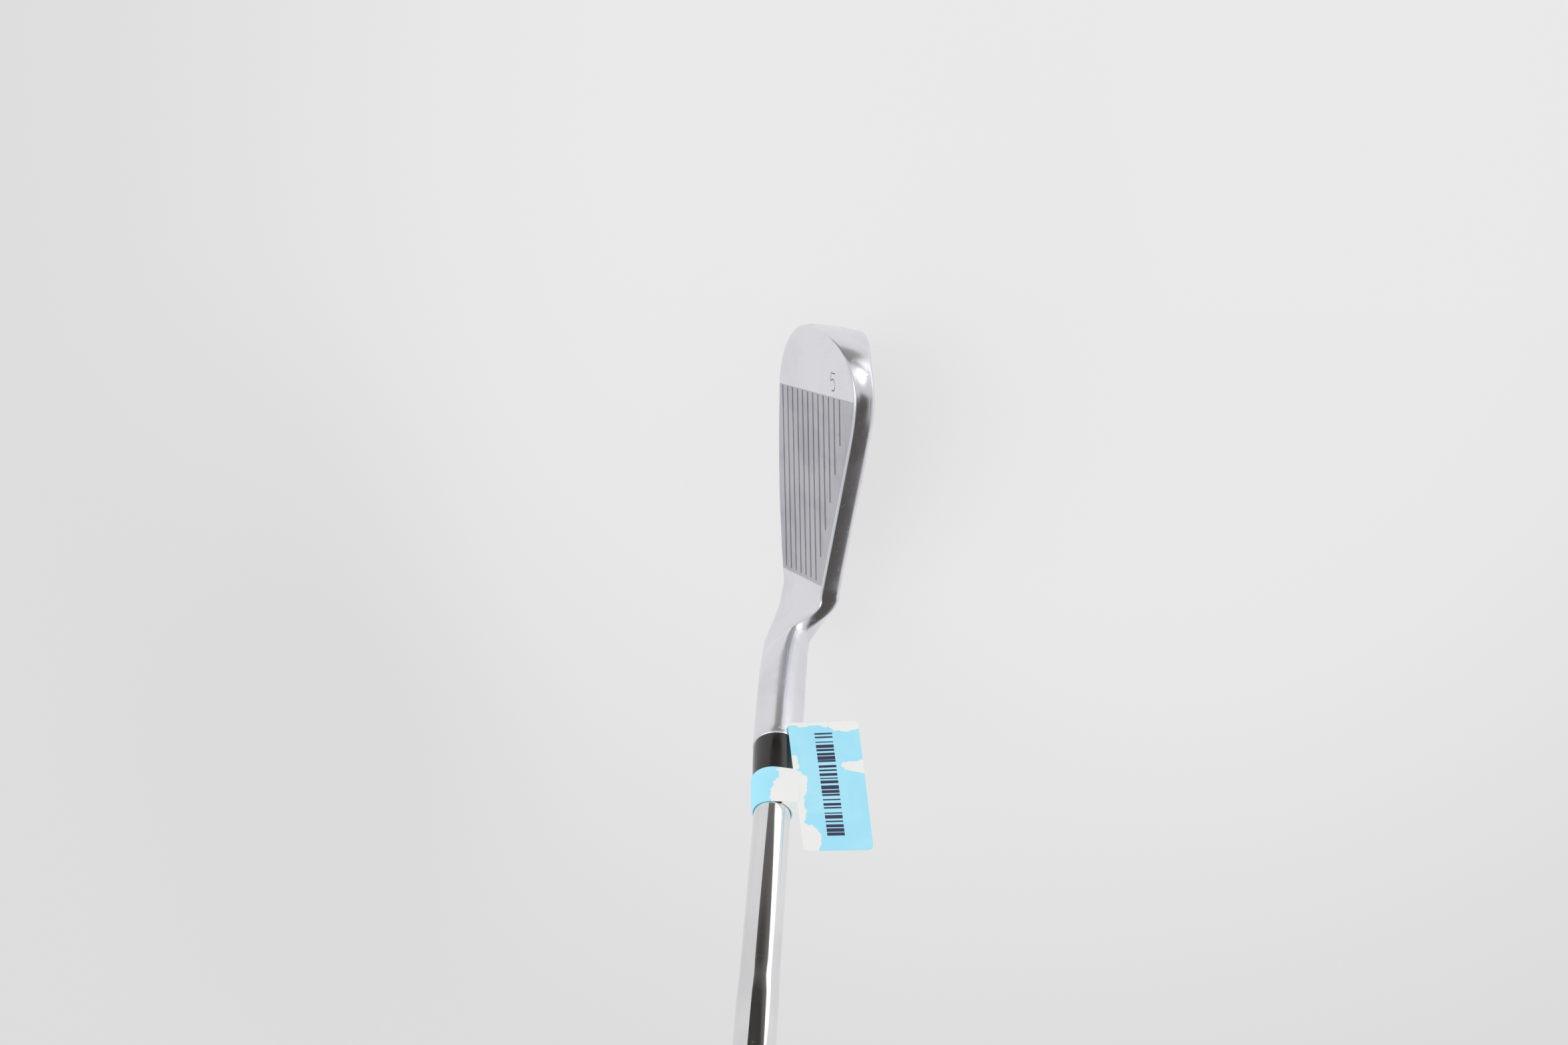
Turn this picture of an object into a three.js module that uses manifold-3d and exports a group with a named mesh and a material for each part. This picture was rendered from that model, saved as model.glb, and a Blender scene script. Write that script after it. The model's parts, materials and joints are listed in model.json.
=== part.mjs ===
// Right-handed cavity-back iron with a stepped steel shaft and a rubber grip.
// Frame: millimetres, +Z up, the club standing at address with its sole on z = 0.
// -X is the toe, +X the heel and shaft side, and the face looks towards -Y.
import * as THREE from 'three';
import { mergeVertices } from 'three/addons/utils/BufferGeometryUtils.js';
import Module from 'manifold-3d';

const wasm = await Module();
wasm.setup();

// ---- Driving dimensions ----

const clubLength = 965; // along the shaft line, from the ground to the end of the cap
const lieAngle = 61.1;
const loftAngle = 27.1;

const grooves = { count: 12, fullCount: 7, pitch: 3.575, length: 53.7, width: 0.8, depth: 0.45, step: 8.4 };

// Blade: u runs from toe to heel, v up the face and w back from the face.
const blade = {
  lowGrooveHeight: 6.7, // lowest groove above the ground
  faceSetback: 7, // lowest groove in front of the point that the sole rests on
  toeReach: 18.6, // toe tip beyond the grooves' toe ends
  toeHeight: 18, // toe tip above the lowest groove
  crownHeight: 50,
  crownReach: 1,
  leadingDrop: 4.7,
  leadingCurve: 0.0022,
  toplineWidth: 6.6,
  toplineSlope: 0.465,
  toeWidth: 14.8,
  soleWidth: 22.3,
  soleTaper: 0.04,
  soleCurve: 0.0016,
  soleCamber: 5.5,
  trailingHeight: 2.7,
  toeDraft: 5,
  edgeRadius: 0.6,
  rearRadius: 1.8,
  trailingRadius: 2,
};

const cavity = {
  toeEnd: -6,
  heelEnd: 49,
  rim: 5.8, // between the topline and the pocket
  barHeight: 6.6,
  barWidth: 10,
  faceThickness: 2.9,
  cornerRadius: 7,
  wallDraft: 0.8,
};

const badge = { inset: 1.6, tapeThickness: 0.6, plateThickness: 1.4, gap: 0.15, shoulder: 1 };

const hosel = {
  heel: 28.45, // where its axis meets the ground, from the middle of the grooves
  forward: 6.2, // axis in front of the point that the sole rests on
  wall: 1.36, // outside the bore
  top: 73.7, // along the axis from the ground
  boreDepth: 34,
  crotchRadius: 7,
  neckRise: 14, // straight part of the neck's blend, above the crotch
  chamfer: 0.4,
};

const ferrule = { length: 22.4, reveal: 0.15, tailWall: 0.25 };

const shaft = {
  tipDiameter: 9.5,
  swell: 0.2, // growth in diameter just above the ferrule
  buttDiameter: 15.2,
  tipWall: 0.7,
  buttWall: 0.3,
  firstStep: 80.5, // above the hosel
  plainButt: 15, // unstepped length below the foil band
  stepCount: 13,
  stepLength: 0.6,
};

const epoxy = { thickness: 0.25, length: 30 };
const tipWeight = { length: 18, headLength: 1.5 };
const foilBand = { length: 46, belowGrip: 60, thickness: 0.12 };
const grip = { length: 265, mouthWall: 1.3, buttWall: 5.2, mouthLip: 1.1 };
const gripTapeThickness = 0.3;
const gripCap = { thickness: 5, overhang: 0.8, ventDiameter: 4, rim: 1.2 };
const flag = {
  bandStart: 85.5,
  bandLength: 11,
  width: 19.5,
  length: 41.6,
  thickness: 0.3,
  corner: 1.5,
  start: 70.4,
  reach: 1.9, // side edge beyond the shaft line
  skew: 9,
  turn: -9, // about the shaft, away from the lie plane
};

const slipGap = 0.12; // between round pieces that slide into each other
const faceGap = 0.2; // between pieces that meet end to end
const roundSides = 32;

const lie = THREE.MathUtils.degToRad(lieAngle);
const loft = THREE.MathUtils.degToRad(loftAngle);
const epoxyBore = shaft.tipDiameter / 2 + slipGap;
const boreRadius = epoxyBore + epoxy.thickness + slipGap;
const hoselRadius = boreRadius + hosel.wall;

// ---- Small helpers ----

const mix = (a, b, t) => a + (b - a) * t;
const clamp01 = (t) => Math.min(1, Math.max(0, t));
const smooth = (t) => clamp01(t) ** 2 * (3 - 2 * clamp01(t));

function signedVolume(geometry) {
  const position = geometry.attributes.position;
  const corner = [new THREE.Vector3(), new THREE.Vector3(), new THREE.Vector3()];
  let sum = 0;
  for (let i = 0; i < geometry.index.count; i += 3) {
    corner.forEach((point, k) => point.fromBufferAttribute(position, geometry.index.getX(i + k)));
    sum += corner[0].dot(corner[1].clone().cross(corner[2])) / 6;
  }
  return sum;
}

// Merges shared corners and turns every face outward.
function closedBody(geometry) {
  geometry.deleteAttribute('normal');
  geometry.deleteAttribute('uv');
  const merged = mergeVertices(geometry, 1e-4);
  const kept = [];
  const source = merged.index.array;
  for (let i = 0; i < source.length; i += 3) {
    const [a, b, c] = [source[i], source[i + 1], source[i + 2]];
    if (a !== b && b !== c && a !== c) kept.push(a, b, c);
  }
  merged.setIndex(kept);
  if (signedVolume(merged) < 0) merged.setIndex(kept.reverse());
  return merged;
}

function toSolid(geometry) {
  const body = closedBody(geometry);
  const vertProperties = new Float32Array(body.attributes.position.array);
  const triVerts = new Uint32Array(body.index.array);
  return new wasm.Manifold(new wasm.Mesh({ numProp: 3, vertProperties, triVerts }));
}

function fromSolid(solid) {
  const mesh = solid.getMesh();
  const geometry = new THREE.BufferGeometry();
  geometry.setAttribute('position', new THREE.Float32BufferAttribute(mesh.vertProperties, 3));
  geometry.setIndex(Array.from(mesh.triVerts));
  return geometry;
}

function namedMesh(name, geometry, color, roughness, metalness) {
  const mesh = new THREE.Mesh(geometry, new THREE.MeshStandardMaterial({ color, roughness, metalness }));
  mesh.name = name;
  return mesh;
}

// Turns a profile of [radius, height] points about the local Z axis.
function turned(profile) {
  const points = profile.map(([radius, height]) => new THREE.Vector2(radius, height));
  const geometry = new THREE.LatheGeometry(points, roundSides);
  geometry.rotateX(Math.PI / 2);
  return closedBody(geometry);
}

// A tube from matching outer and inner profiles, each running up the axis.
function turnedTube(outer, inner) {
  return turned([...outer, ...inner.slice().reverse(), outer[0]]);
}

// ---- Blade outline and sections ----

const toeCurve = { topSpan: blade.toeReach - blade.crownReach, bottomStart: 3, power: 2.1 };
const bottomSpan = blade.toeReach + toeCurve.bottomStart;
const toplineStart = blade.crownHeight + 1.4;
const crownSoftness = 2;

function toplineAt(u) {
  const line = toplineStart - blade.toplineSlope * u;
  const gap = blade.crownHeight - line;
  return (blade.crownHeight + line - Math.hypot(gap, crownSoftness)) / 2;
}

// Centre of the crotch curve, which the neck's sections turn about: it lies the crotch
// radius from both the topline and the hosel's side.
function crotchCentre() {
  const axisDistance = hosel.crotchRadius + hoselRadius;
  const slope = Math.atan(blade.toplineSlope * Math.cos(loft));
  const heightAt = (u) => blade.lowGrooveHeight + toplineAt(u) * Math.cos(loft)
    + hosel.crotchRadius / Math.cos(slope);
  let low = 0;
  let high = grooves.length * 2;
  for (let i = 0; i < 50; i += 1) {
    const u = (low + high) / 2;
    const alongX = u - grooves.length / 2 - hosel.heel;
    const distance = heightAt(u) * Math.cos(lie) - alongX * Math.sin(lie);
    if (distance > axisDistance) low = u;
    else high = u;
  }
  return { u: low, x: low - grooves.length / 2, z: heightAt(low), axisDistance, slope };
}

const crotch = crotchCentre();

function topEdge(u) {
  const beforeCrotch = crotch.u - u;
  if (beforeCrotch < hosel.crotchRadius * Math.sin(crotch.slope)) {
    const rise = crotch.z - Math.sqrt(hosel.crotchRadius ** 2 - beforeCrotch ** 2);
    return (rise - blade.lowGrooveHeight) / Math.cos(loft);
  }
  if (u >= -blade.crownReach) return toplineAt(u);
  const share = clamp01((-blade.crownReach - u) / toeCurve.topSpan);
  const fall = (1 - share ** toeCurve.power) ** (1 / toeCurve.power);
  return mix(blade.toeHeight, toplineAt(-blade.crownReach), fall);
}

const leadingAt = (u) => -blade.leadingDrop + blade.leadingCurve * (u - grooves.length * 0.56) ** 2;

function toeRound(u) {
  const share = clamp01((toeCurve.bottomStart - u) / bottomSpan);
  return Math.sqrt(1 - share ** 2);
}

const bottomEdge = (u) =>
  mix(blade.toeHeight, leadingAt(Math.max(u, toeCurve.bottomStart)), toeRound(u));

function toplineWidthAt(u) {
  const share = clamp01((-blade.crownReach - u) / toeCurve.topSpan);
  return mix(blade.toplineWidth, blade.toeWidth, share ** 3);
}

function trailingEdge(u) {
  const past = Math.max(0, u - toeCurve.bottomStart);
  const full = blade.soleWidth - blade.soleTaper * past - blade.soleCurve * past ** 2;
  const w = mix(blade.toeWidth, full, toeRound(u) ** 0.7);
  const level = (blade.trailingHeight - blade.lowGrooveHeight + w * Math.sin(loft)) / Math.cos(loft);
  return [mix(blade.toeHeight, level, toeRound(u)), w];
}

// Width of the solid back at height v, before the pocket is sunk into it.
function backAt(u, v, top, topWidth, trailing) {
  const straight = mix(trailing[1], topWidth, clamp01((v - trailing[0]) / (top - trailing[0])));
  const barTop = trailing[0] + cavity.barHeight;
  const slim = v >= barTop
    ? mix(cavity.barWidth, topWidth, clamp01((v - barTop) / (top - barTop)))
    : mix(trailing[1], cavity.barWidth, clamp01((v - trailing[0]) / cavity.barHeight));
  const middle = smooth((u + 9) / 12) * smooth((cavity.heelEnd + 12 - u) / 12);
  return mix(straight, Math.min(slim, straight), middle);
}

// Pocket limits at station u, and how deep it is there (0 outside it, 1 inside).
function pocketAt(u) {
  const [barFoot] = trailingEdge(u);
  const top = topEdge(u);
  const span = top - barFoot;
  const fromEnd = Math.min(u - cavity.toeEnd, cavity.heelEnd - u);
  const corner = 1 - clamp01(fromEnd / cavity.cornerRadius);
  const height = Math.max(0, span - cavity.rim - cavity.barHeight);
  const pinch = Math.min(cavity.cornerRadius, height * 0.45) * (1 - Math.sqrt(1 - corner ** 2));
  const rim = Math.min(cavity.rim, span * 0.34);
  const bar = Math.min(cavity.barHeight, span * 0.33);
  const depth = fromEnd > 0 ? clamp01(fromEnd / cavity.wallDraft) : 0;
  return { upper: top - rim - pinch, lower: barFoot + bar + pinch, depth };
}

const sectionSteps = { face: 6, floor: 4, sole: 6 };

// One closed section across the blade at station u: [v, w] points and the angle that
// each takes round the hosel, 0 at the crotch and positive towards the face side.
function bladeSection(u) {
  const top = topEdge(u);
  const bottom = bottomEdge(u);
  const scale = clamp01((top - bottom) / 24);
  const edge = blade.edgeRadius * scale;
  const rear = blade.rearRadius * scale;
  const width = toplineWidthAt(u);
  const trailing = trailingEdge(u);
  const pocket = pocketAt(u);
  const points = [];
  const angles = [];
  const add = (v, w, angle) => {
    points.push([v, w]);
    angles.push(angle);
  };
  for (let i = 0; i <= sectionSteps.face; i += 1) {
    const t = i / sectionSteps.face;
    add(mix(bottom + edge, top - edge, t), 0, mix(130, 5, t));
  }
  add(top - edge * 0.29, edge * 0.29, 0);
  add(top, edge, -4);
  add(top, width / 2, -20);
  add(top, width - rear, -36);
  add(top - rear * 0.29, width - rear * 0.29, -44);
  add(top - rear, width, -52);
  const onBack = (v) => backAt(u, v, top - rear, width, trailing);
  add(pocket.upper, onBack(pocket.upper), -62);
  for (let i = 0; i <= sectionSteps.floor; i += 1) {
    const t = i / sectionSteps.floor;
    const draft = cavity.wallDraft * pocket.depth;
    const v = mix(pocket.upper - draft, pocket.lower + draft, t);
    add(v, mix(onBack(v), cavity.faceThickness, pocket.depth), mix(-66, -104, t));
  }
  add(pocket.lower, onBack(pocket.lower), -112);
  const round = blade.trailingRadius * scale;
  const reach = Math.hypot(pocket.lower - trailing[0], onBack(pocket.lower) - trailing[1]) || 1;
  const t0 = Math.min(0.5, round / reach);
  const barNear = [mix(trailing[0], pocket.lower, t0), mix(trailing[1], onBack(pocket.lower), t0)];
  add(barNear[0], barNear[1], -136);
  const camber = blade.soleCamber * scale;
  const control = [
    (trailing[0] + bottom) / 2 - camber * Math.cos(loft),
    trailing[1] / 2 + camber * Math.sin(loft),
  ];
  const soleAt = (t) => [0, 1].map((k) => {
    const start = trailing[k];
    const end = k === 0 ? bottom : 0;
    return start * (1 - t) ** 2 + 2 * control[k] * t * (1 - t) + end * t ** 2;
  });
  const solePoint = soleAt(0.09);
  const cornerPoint = [0, 1].map((k) => mix(trailing[k], (barNear[k] + solePoint[k]) / 2, 0.42));
  add(cornerPoint[0], cornerPoint[1], -144);
  for (let i = 0; i < sectionSteps.sole; i += 1) {
    const t = mix(0.09, 0.96, i / (sectionSteps.sole - 1));
    const [v, w] = soleAt(t);
    add(v, w, mix(-152, -224, i / (sectionSteps.sole - 1)));
  }
  return { points, angles };
}

// Blade coordinates to the club's frame; the rear of the toe leans towards the heel.
function bladePoint(u, v, w) {
  const toeShare = clamp01((toeCurve.bottomStart - u) / bottomSpan);
  const lean = blade.toeDraft * toeShare * (w / blade.soleWidth) ** 2;
  return new THREE.Vector3(
    u + lean - grooves.length / 2,
    -blade.faceSetback + v * Math.sin(loft) + w * Math.cos(loft),
    blade.lowGrooveHeight + v * Math.cos(loft) - w * Math.sin(loft),
  );
}

// ---- Head: blade, neck and hosel lofted through one row of sections ----

const shaftUp = new THREE.Vector3(Math.cos(lie), 0, Math.sin(lie));
const shaftFoot = new THREE.Vector3(hosel.heel, -hosel.forward, 0);

function headRings() {
  const rings = [];
  const toeTip = -blade.toeReach;
  const toeStart = cavity.toeEnd - 2;
  const stations = [];
  const toeStations = 9;
  for (let i = 0; i < toeStations; i += 1) {
    const angle = mix(0.09, Math.PI / 2, i / toeStations);
    stations.push(mix(toeStart, toeTip, Math.cos(angle)));
  }
  stations.push(toeStart);
  const corner = cavity.cornerRadius;
  [0, 0.12, 0.4, 0.7, 1].forEach((t) => stations.push(cavity.toeEnd + corner * t));
  const middleStations = 5;
  for (let i = 1; i < middleStations; i += 1) {
    stations.push(mix(cavity.toeEnd + corner, cavity.heelEnd - corner, i / middleStations));
  }
  [1, 0.7, 0.4, 0.12, 0].forEach((t) => stations.push(cavity.heelEnd - corner * t));
  [0.25, 0.5, 0.7, 0.8, 0.9, 1].forEach((t) => stations.push(mix(cavity.heelEnd, crotch.u, t)));
  stations.forEach((u) => {
    rings.push(bladeSection(u).points.map(([v, w]) => bladePoint(u, v, w)));
  });

  // Neck: the last blade section swings about the crotch, then rises along the hosel.
  // It closes to a circle on the way, its sole side first and its face side last.
  const last = bladeSection(crotch.u);
  const start = last.points.map(([v, w]) => bladePoint(crotch.u, v, w));
  const neckSteps = 15;
  const swingShare = 0.6;
  const neckPoint = (k, t) => {
    const angle = THREE.MathUtils.degToRad(last.angles[k]);
    const faceSide = (1 + Math.sin(angle)) / 2;
    const soleSide = smooth(0.7 * (1 - Math.cos(angle)));
    const swing = clamp01(t / swingShare);
    const upper = mix(smooth(t / 0.75), smooth(t), faceSide);
    const outward = mix(upper, smooth(swing), soleSide);
    const early = mix(smooth(swing), 1 - (1 - swing) ** 3, mix(0.4, 1, faceSide));
    const forward = mix(upper, early, soleSide);
    const turn = swing * lie;
    const rise = clamp01((t - swingShare) / (1 - swingShare)) * hosel.neckRise;
    const depth = crotch.z - start[k].z;
    const a = mix(depth, crotch.axisDistance - hoselRadius * Math.cos(angle), outward);
    const y = mix(start[k].y, -hosel.forward - hoselRadius * Math.sin(angle), forward);
    const point = new THREE.Vector3(crotch.x + a * Math.sin(turn), y, crotch.z - a * Math.cos(turn));
    return point.addScaledVector(shaftUp, rise);
  };
  for (let i = 1; i <= neckSteps; i += 1) {
    rings.push(start.map((_, k) => neckPoint(k, i / neckSteps)));
  }

  // Hosel: circles up the shaft line, with a small chamfer at the top.
  const round = start.map((_, k) => neckPoint(k, 1));
  const centre = round[0].clone().sub(shaftFoot).dot(shaftUp);
  const lift = hosel.top - centre;
  const ringAt = (height, shrink) => round.map((point) => {
    const along = point.clone().addScaledVector(shaftUp, height);
    const axisPoint = shaftFoot.clone().addScaledVector(shaftUp, centre + height);
    return axisPoint.lerp(along, 1 - shrink / hoselRadius);
  });
  rings.push(ringAt(lift * 0.5, 0));
  rings.push(ringAt(lift - hosel.chamfer, 0));
  rings.push(ringAt(lift, hosel.chamfer));
  return rings;
}

// Skins a row of rings that all have the same number of points, with both ends capped.
function skinned(rings) {
  const count = rings[0].length;
  const vertices = rings.flat().flatMap((point) => [point.x, point.y, point.z]);
  const index = [];
  for (let r = 0; r + 1 < rings.length; r += 1) {
    for (let k = 0; k < count; k += 1) {
      const next = (k + 1) % count;
      const [a, b] = [r * count + k, r * count + next];
      const [c, d] = [a + count, b + count];
      index.push(a, b, d, a, d, c);
    }
  }
  [rings[0], rings[rings.length - 1]].forEach((ring, end) => {
    const middle = ring.reduce((sum, point) => sum.add(point), new THREE.Vector3());
    middle.divideScalar(count);
    const hub = vertices.length / 3;
    vertices.push(middle.x, middle.y, middle.z);
    const base = end === 0 ? 0 : (rings.length - 1) * count;
    for (let k = 0; k < count; k += 1) {
      const next = (k + 1) % count;
      if (end === 0) index.push(base + next, base + k, hub);
      else index.push(base + k, base + next, hub);
    }
  });
  const geometry = new THREE.BufferGeometry();
  geometry.setAttribute('position', new THREE.Float32BufferAttribute(vertices, 3));
  geometry.setIndex(index);
  return geometry;
}

// A bar lying on the face along one groove, half sunk into it.
function grooveCutter(row) {
  const short = Math.max(0, row - grooves.fullCount + 1);
  const length = grooves.length - (short > 0 ? short * grooves.step - 1 : 0);
  const cutter = new THREE.BoxGeometry(length, grooves.width, grooves.depth * 2);
  cutter.rotateX(Math.PI / 2 - loft);
  const place = bladePoint(length / 2, row * grooves.pitch, 0);
  cutter.translate(place.x, place.y, place.z);
  return cutter;
}

// Moves a shape made along local Z onto the shaft line.
function ontoShaft(geometry) {
  geometry.rotateY(Math.PI / 2 - lie);
  geometry.translate(shaftFoot.x, shaftFoot.y, shaftFoot.z);
  return geometry;
}

function clubHead() {
  let solid = toSolid(skinned(headRings()));
  for (let row = 0; row < grooves.count; row += 1) {
    solid = solid.subtract(toSolid(grooveCutter(row)));
  }
  const boreLength = hosel.boreDepth + 5;
  const bore = new THREE.CylinderGeometry(boreRadius, boreRadius, boreLength, roundSides);
  bore.rotateX(Math.PI / 2);
  bore.translate(0, 0, hosel.top - hosel.boreDepth + boreLength / 2);
  solid = solid.subtract(toSolid(ontoShaft(bore)));
  const ground = new THREE.BoxGeometry(clubLength, clubLength, 20);
  ground.translate(0, 0, -10);
  solid = solid.subtract(toSolid(ground));
  return fromSolid(solid);
}

// ---- Badge and its tape, following the pocket's outline ----

function pocketPlate(front, thickness, inset) {
  const upper = [];
  const lower = [];
  const start = cavity.toeEnd + cavity.wallDraft + inset;
  const end = cavity.heelEnd - cavity.wallDraft - inset;
  const plateSteps = 14;
  for (let i = 0; i <= plateSteps; i += 1) {
    const u = mix(start, end, (1 - Math.cos((Math.PI * i) / plateSteps)) / 2);
    const { upper: top, lower: bottom } = pocketAt(u);
    upper.push([u, top - cavity.wallDraft - inset]);
    lower.push([u, bottom + cavity.wallDraft + inset]);
  }
  const outline = [...lower, ...upper.reverse()];
  const rings = [front, front + thickness].map((w) => outline.map(([u, v]) => {
    const point = bladePoint(u, v, w);
    point.x = u - grooves.length / 2;
    return point;
  }));
  return closedBody(flatSkin(rings));
}

// Two flat rings of the same outline, joined by walls and capped by flat faces.
function flatSkin(rings) {
  const count = rings[0].length;
  const half = count / 2;
  const vertices = rings.flat().flatMap((point) => [point.x, point.y, point.z]);
  const index = [];
  for (let k = 0; k < count; k += 1) {
    const next = (k + 1) % count;
    index.push(k, next, count + next, k, count + next, count + k);
  }
  for (let k = 0; k + 1 < half; k += 1) {
    const across = count - 1 - k;
    index.push(k + 1, k, across, k + 1, across, across - 1);
    index.push(count + k, count + k + 1, count + across);
    index.push(count + k + 1, count + across - 1, count + across);
  }
  const geometry = new THREE.BufferGeometry();
  geometry.setAttribute('position', new THREE.Float32BufferAttribute(vertices, 3));
  geometry.setIndex(index);
  return geometry;
}

// ---- Pieces along the shaft line, made about local Z from the ground up ----

const tipStart = hosel.top - hosel.boreDepth + 1;
const ferruleStart = hosel.top + faceGap;
const ferruleEnd = ferruleStart + ferrule.length;
const gripStart = clubLength - grip.length;
const capStart = clubLength - gripCap.thickness;
const shaftEnd = capStart - faceGap;
const bandEnd = gripStart - foilBand.belowGrip;
const bandStart = bandEnd - foilBand.length;
const firstStep = hosel.top + shaft.firstStep;
const stepPitch = (bandStart - shaft.plainButt - firstStep) / (shaft.stepCount - 1);

function shaftRadius(height) {
  if (height < ferruleEnd + 1) return shaft.tipDiameter / 2;
  const passed = Math.floor((height - firstStep) / stepPitch + 1 + 1e-6);
  const steps = Math.min(shaft.stepCount, Math.max(0, passed));
  return mix(shaft.tipDiameter + shaft.swell, shaft.buttDiameter, steps / shaft.stepCount) / 2;
}

function shaftWall(height) {
  return mix(shaft.tipWall, shaft.buttWall, clamp01(height / clubLength));
}

function shaftTube() {
  const stations = [tipStart, ferruleEnd + 0.9, ferruleEnd + 2];
  for (let i = 0; i < shaft.stepCount; i += 1) {
    const height = firstStep + i * stepPitch;
    stations.push(height - shaft.stepLength, height + 0.01);
  }
  stations.push(shaftEnd);
  const outer = stations.map((height) => [shaftRadius(height), height]);
  const inner = stations.map((height) => [shaftRadius(height) - shaftWall(height), height]);
  return turnedTube(outer, inner);
}

function ferruleRadius(height) {
  const foot = hoselRadius - ferrule.reveal;
  const tail = shaft.tipDiameter / 2 + slipGap + ferrule.tailWall;
  return mix(foot, tail, clamp01((height - ferruleStart) / ferrule.length) ** 1.2);
}

function ferruleCollar() {
  const steps = [0, 0.25, 0.5, 0.75, 1];
  const heights = steps.map((t) => mix(ferruleStart, ferruleEnd, t));
  const bore = shaft.tipDiameter / 2 + slipGap;
  return turnedTube(heights.map((h) => [ferruleRadius(h), h]), heights.map((h) => [bore, h]));
}

function epoxySleeve() {
  const outer = epoxyBore + epoxy.thickness;
  const start = tipStart + 1;
  const heights = [start, start + epoxy.length];
  return turnedTube(heights.map((h) => [outer, h]), heights.map((h) => [epoxyBore, h]));
}

function weightPin() {
  const radius = shaft.tipDiameter / 2 - shaft.tipWall - slipGap * 2;
  const start = tipStart + 1;
  const neck = start + tipWeight.headLength;
  const end = start + tipWeight.length;
  const slim = radius * 0.8;
  return turned([[0, start], [radius, start], [radius, neck], [slim, neck], [slim, end], [0, end]]);
}

function foilSleeve() {
  const heights = [bandStart, bandEnd];
  const inner = shaftRadius(bandEnd) + slipGap;
  const outer = inner + foilBand.thickness;
  return turnedTube(heights.map((h) => [outer, h]), heights.map((h) => [inner, h]));
}

const tapeInner = shaftRadius(clubLength) + slipGap;
const tapeOuter = tapeInner + gripTapeThickness;
const gripBore = tapeOuter + slipGap;
const gripMouth = gripBore + grip.mouthWall;
const gripButt = gripBore + grip.buttWall;

function tapeSleeve() {
  const heights = [gripStart + 4, shaftEnd];
  return turnedTube(heights.map((h) => [tapeOuter, h]), heights.map((h) => [tapeInner, h]));
}

function gripSleeve() {
  const end = capStart - faceGap;
  const profile = [
    [gripMouth - grip.mouthLip, gripStart],
    [gripMouth, gripStart + grip.mouthLip],
  ];
  const steps = 8;
  for (let i = 1; i <= steps; i += 1) {
    const t = i / steps;
    profile.push([mix(gripMouth, gripButt, t ** 1.15), mix(gripStart, end, t)]);
  }
  const bore = profile.map(([, height]) => [gripBore, height]);
  return turnedTube(profile, bore);
}

function endCap() {
  const radius = gripButt + gripCap.overhang;
  const vent = gripCap.ventDiameter / 2;
  const outer = [
    [radius - gripCap.rim, capStart],
    [radius, capStart + gripCap.rim],
    [radius, clubLength - gripCap.rim],
    [radius - gripCap.rim, clubLength],
  ];
  return turnedTube(outer, [[vent, capStart], [vent, clubLength]]);
}

// Paper flag: a band round the ferrule that leaves it as a flat tail and widens to a tag.
function paperFlag() {
  const wrap = (height) => Math.max(ferruleRadius(height), shaftRadius(height)) + slipGap;
  const heights = [flag.bandStart, flag.bandStart + flag.bandLength];
  const inner = heights.map((h) => [wrap(h), h]);
  const outer = inner.map(([radius, h]) => [radius + flag.thickness, h]);
  const band = toSolid(turnedTube(outer, inner));

  const tag = new THREE.Shape();
  const r = flag.corner;
  tag.moveTo(r, 0);
  tag.lineTo(flag.width - r, 0);
  tag.quadraticCurveTo(flag.width, 0, flag.width, r);
  tag.lineTo(flag.width, flag.length - r);
  tag.quadraticCurveTo(flag.width, flag.length, flag.width - r, flag.length);
  tag.lineTo(r, flag.length);
  tag.quadraticCurveTo(0, flag.length, 0, flag.length - r);
  tag.lineTo(0, r);
  tag.quadraticCurveTo(0, 0, r, 0);
  const sheet = new THREE.ExtrudeGeometry(tag, { depth: flag.thickness, bevelEnabled: false, curveSegments: 4 });
  sheet.rotateZ(-THREE.MathUtils.degToRad(flag.skew));
  sheet.translate(flag.reach, flag.start, 0);

  const tail = new THREE.BoxGeometry(flag.width / 2, flag.bandLength, flag.thickness);
  tail.translate(flag.width / 4 + 0.5, flag.bandStart + flag.bandLength / 2, flag.thickness / 2);

  // Sheet x becomes local Y, sheet y the shaft line, and its thickness faces local -X.
  const stand = (geometry) => {
    const axes = new THREE.Matrix4().makeBasis(
      new THREE.Vector3(0, 1, 0),
      new THREE.Vector3(0, 0, 1),
      new THREE.Vector3(1, 0, 0),
    );
    geometry.applyMatrix4(axes);
    geometry.translate(-wrap(flag.bandStart) - flag.thickness * 1.5, 0, 0);
    geometry.rotateZ(THREE.MathUtils.degToRad(flag.turn));
    return toSolid(geometry);
  };
  const clearHeights = [flag.start - 20, hosel.top + faceGap * 2];
  const clearRadius = hoselRadius + faceGap;
  const hoselRoom = toSolid(turned([
    [0, clearHeights[0]],
    [clearRadius, clearHeights[0]],
    [clearRadius, clearHeights[1]],
    [0, clearHeights[1]],
  ]));
  const upperHeights = [0, 0.25, 0.5, 0.75, 1].map((t) => mix(hosel.top - 1, ferruleEnd + 3, t));
  const shaftRoom = toSolid(turned([
    [0, upperHeights[0]],
    ...upperHeights.map((h) => [wrap(h) + slipGap / 2, h]),
    [0, upperHeights[4]],
  ]));
  const sheetSolid = stand(sheet).add(stand(tail)).subtract(hoselRoom).subtract(shaftRoom);
  return fromSolid(sheetSolid.add(band));
}

// ---- Assembly ----

const club = new THREE.Group();

club.add(namedMesh('club_head', clubHead(), 0xc9cace, 0.25, 1));

const tapeFront = cavity.faceThickness + badge.gap;
const plateFront = tapeFront + badge.tapeThickness + badge.gap;
const tapeInset = badge.inset + badge.shoulder;
club.add(namedMesh('badge_adhesive', pocketPlate(tapeFront, badge.tapeThickness, tapeInset), 0xd8d4c4, 0.9, 0));
club.add(namedMesh('cavity_badge', pocketPlate(plateFront, badge.plateThickness, badge.inset), 0x30343a, 0.45, 0.6));

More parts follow.
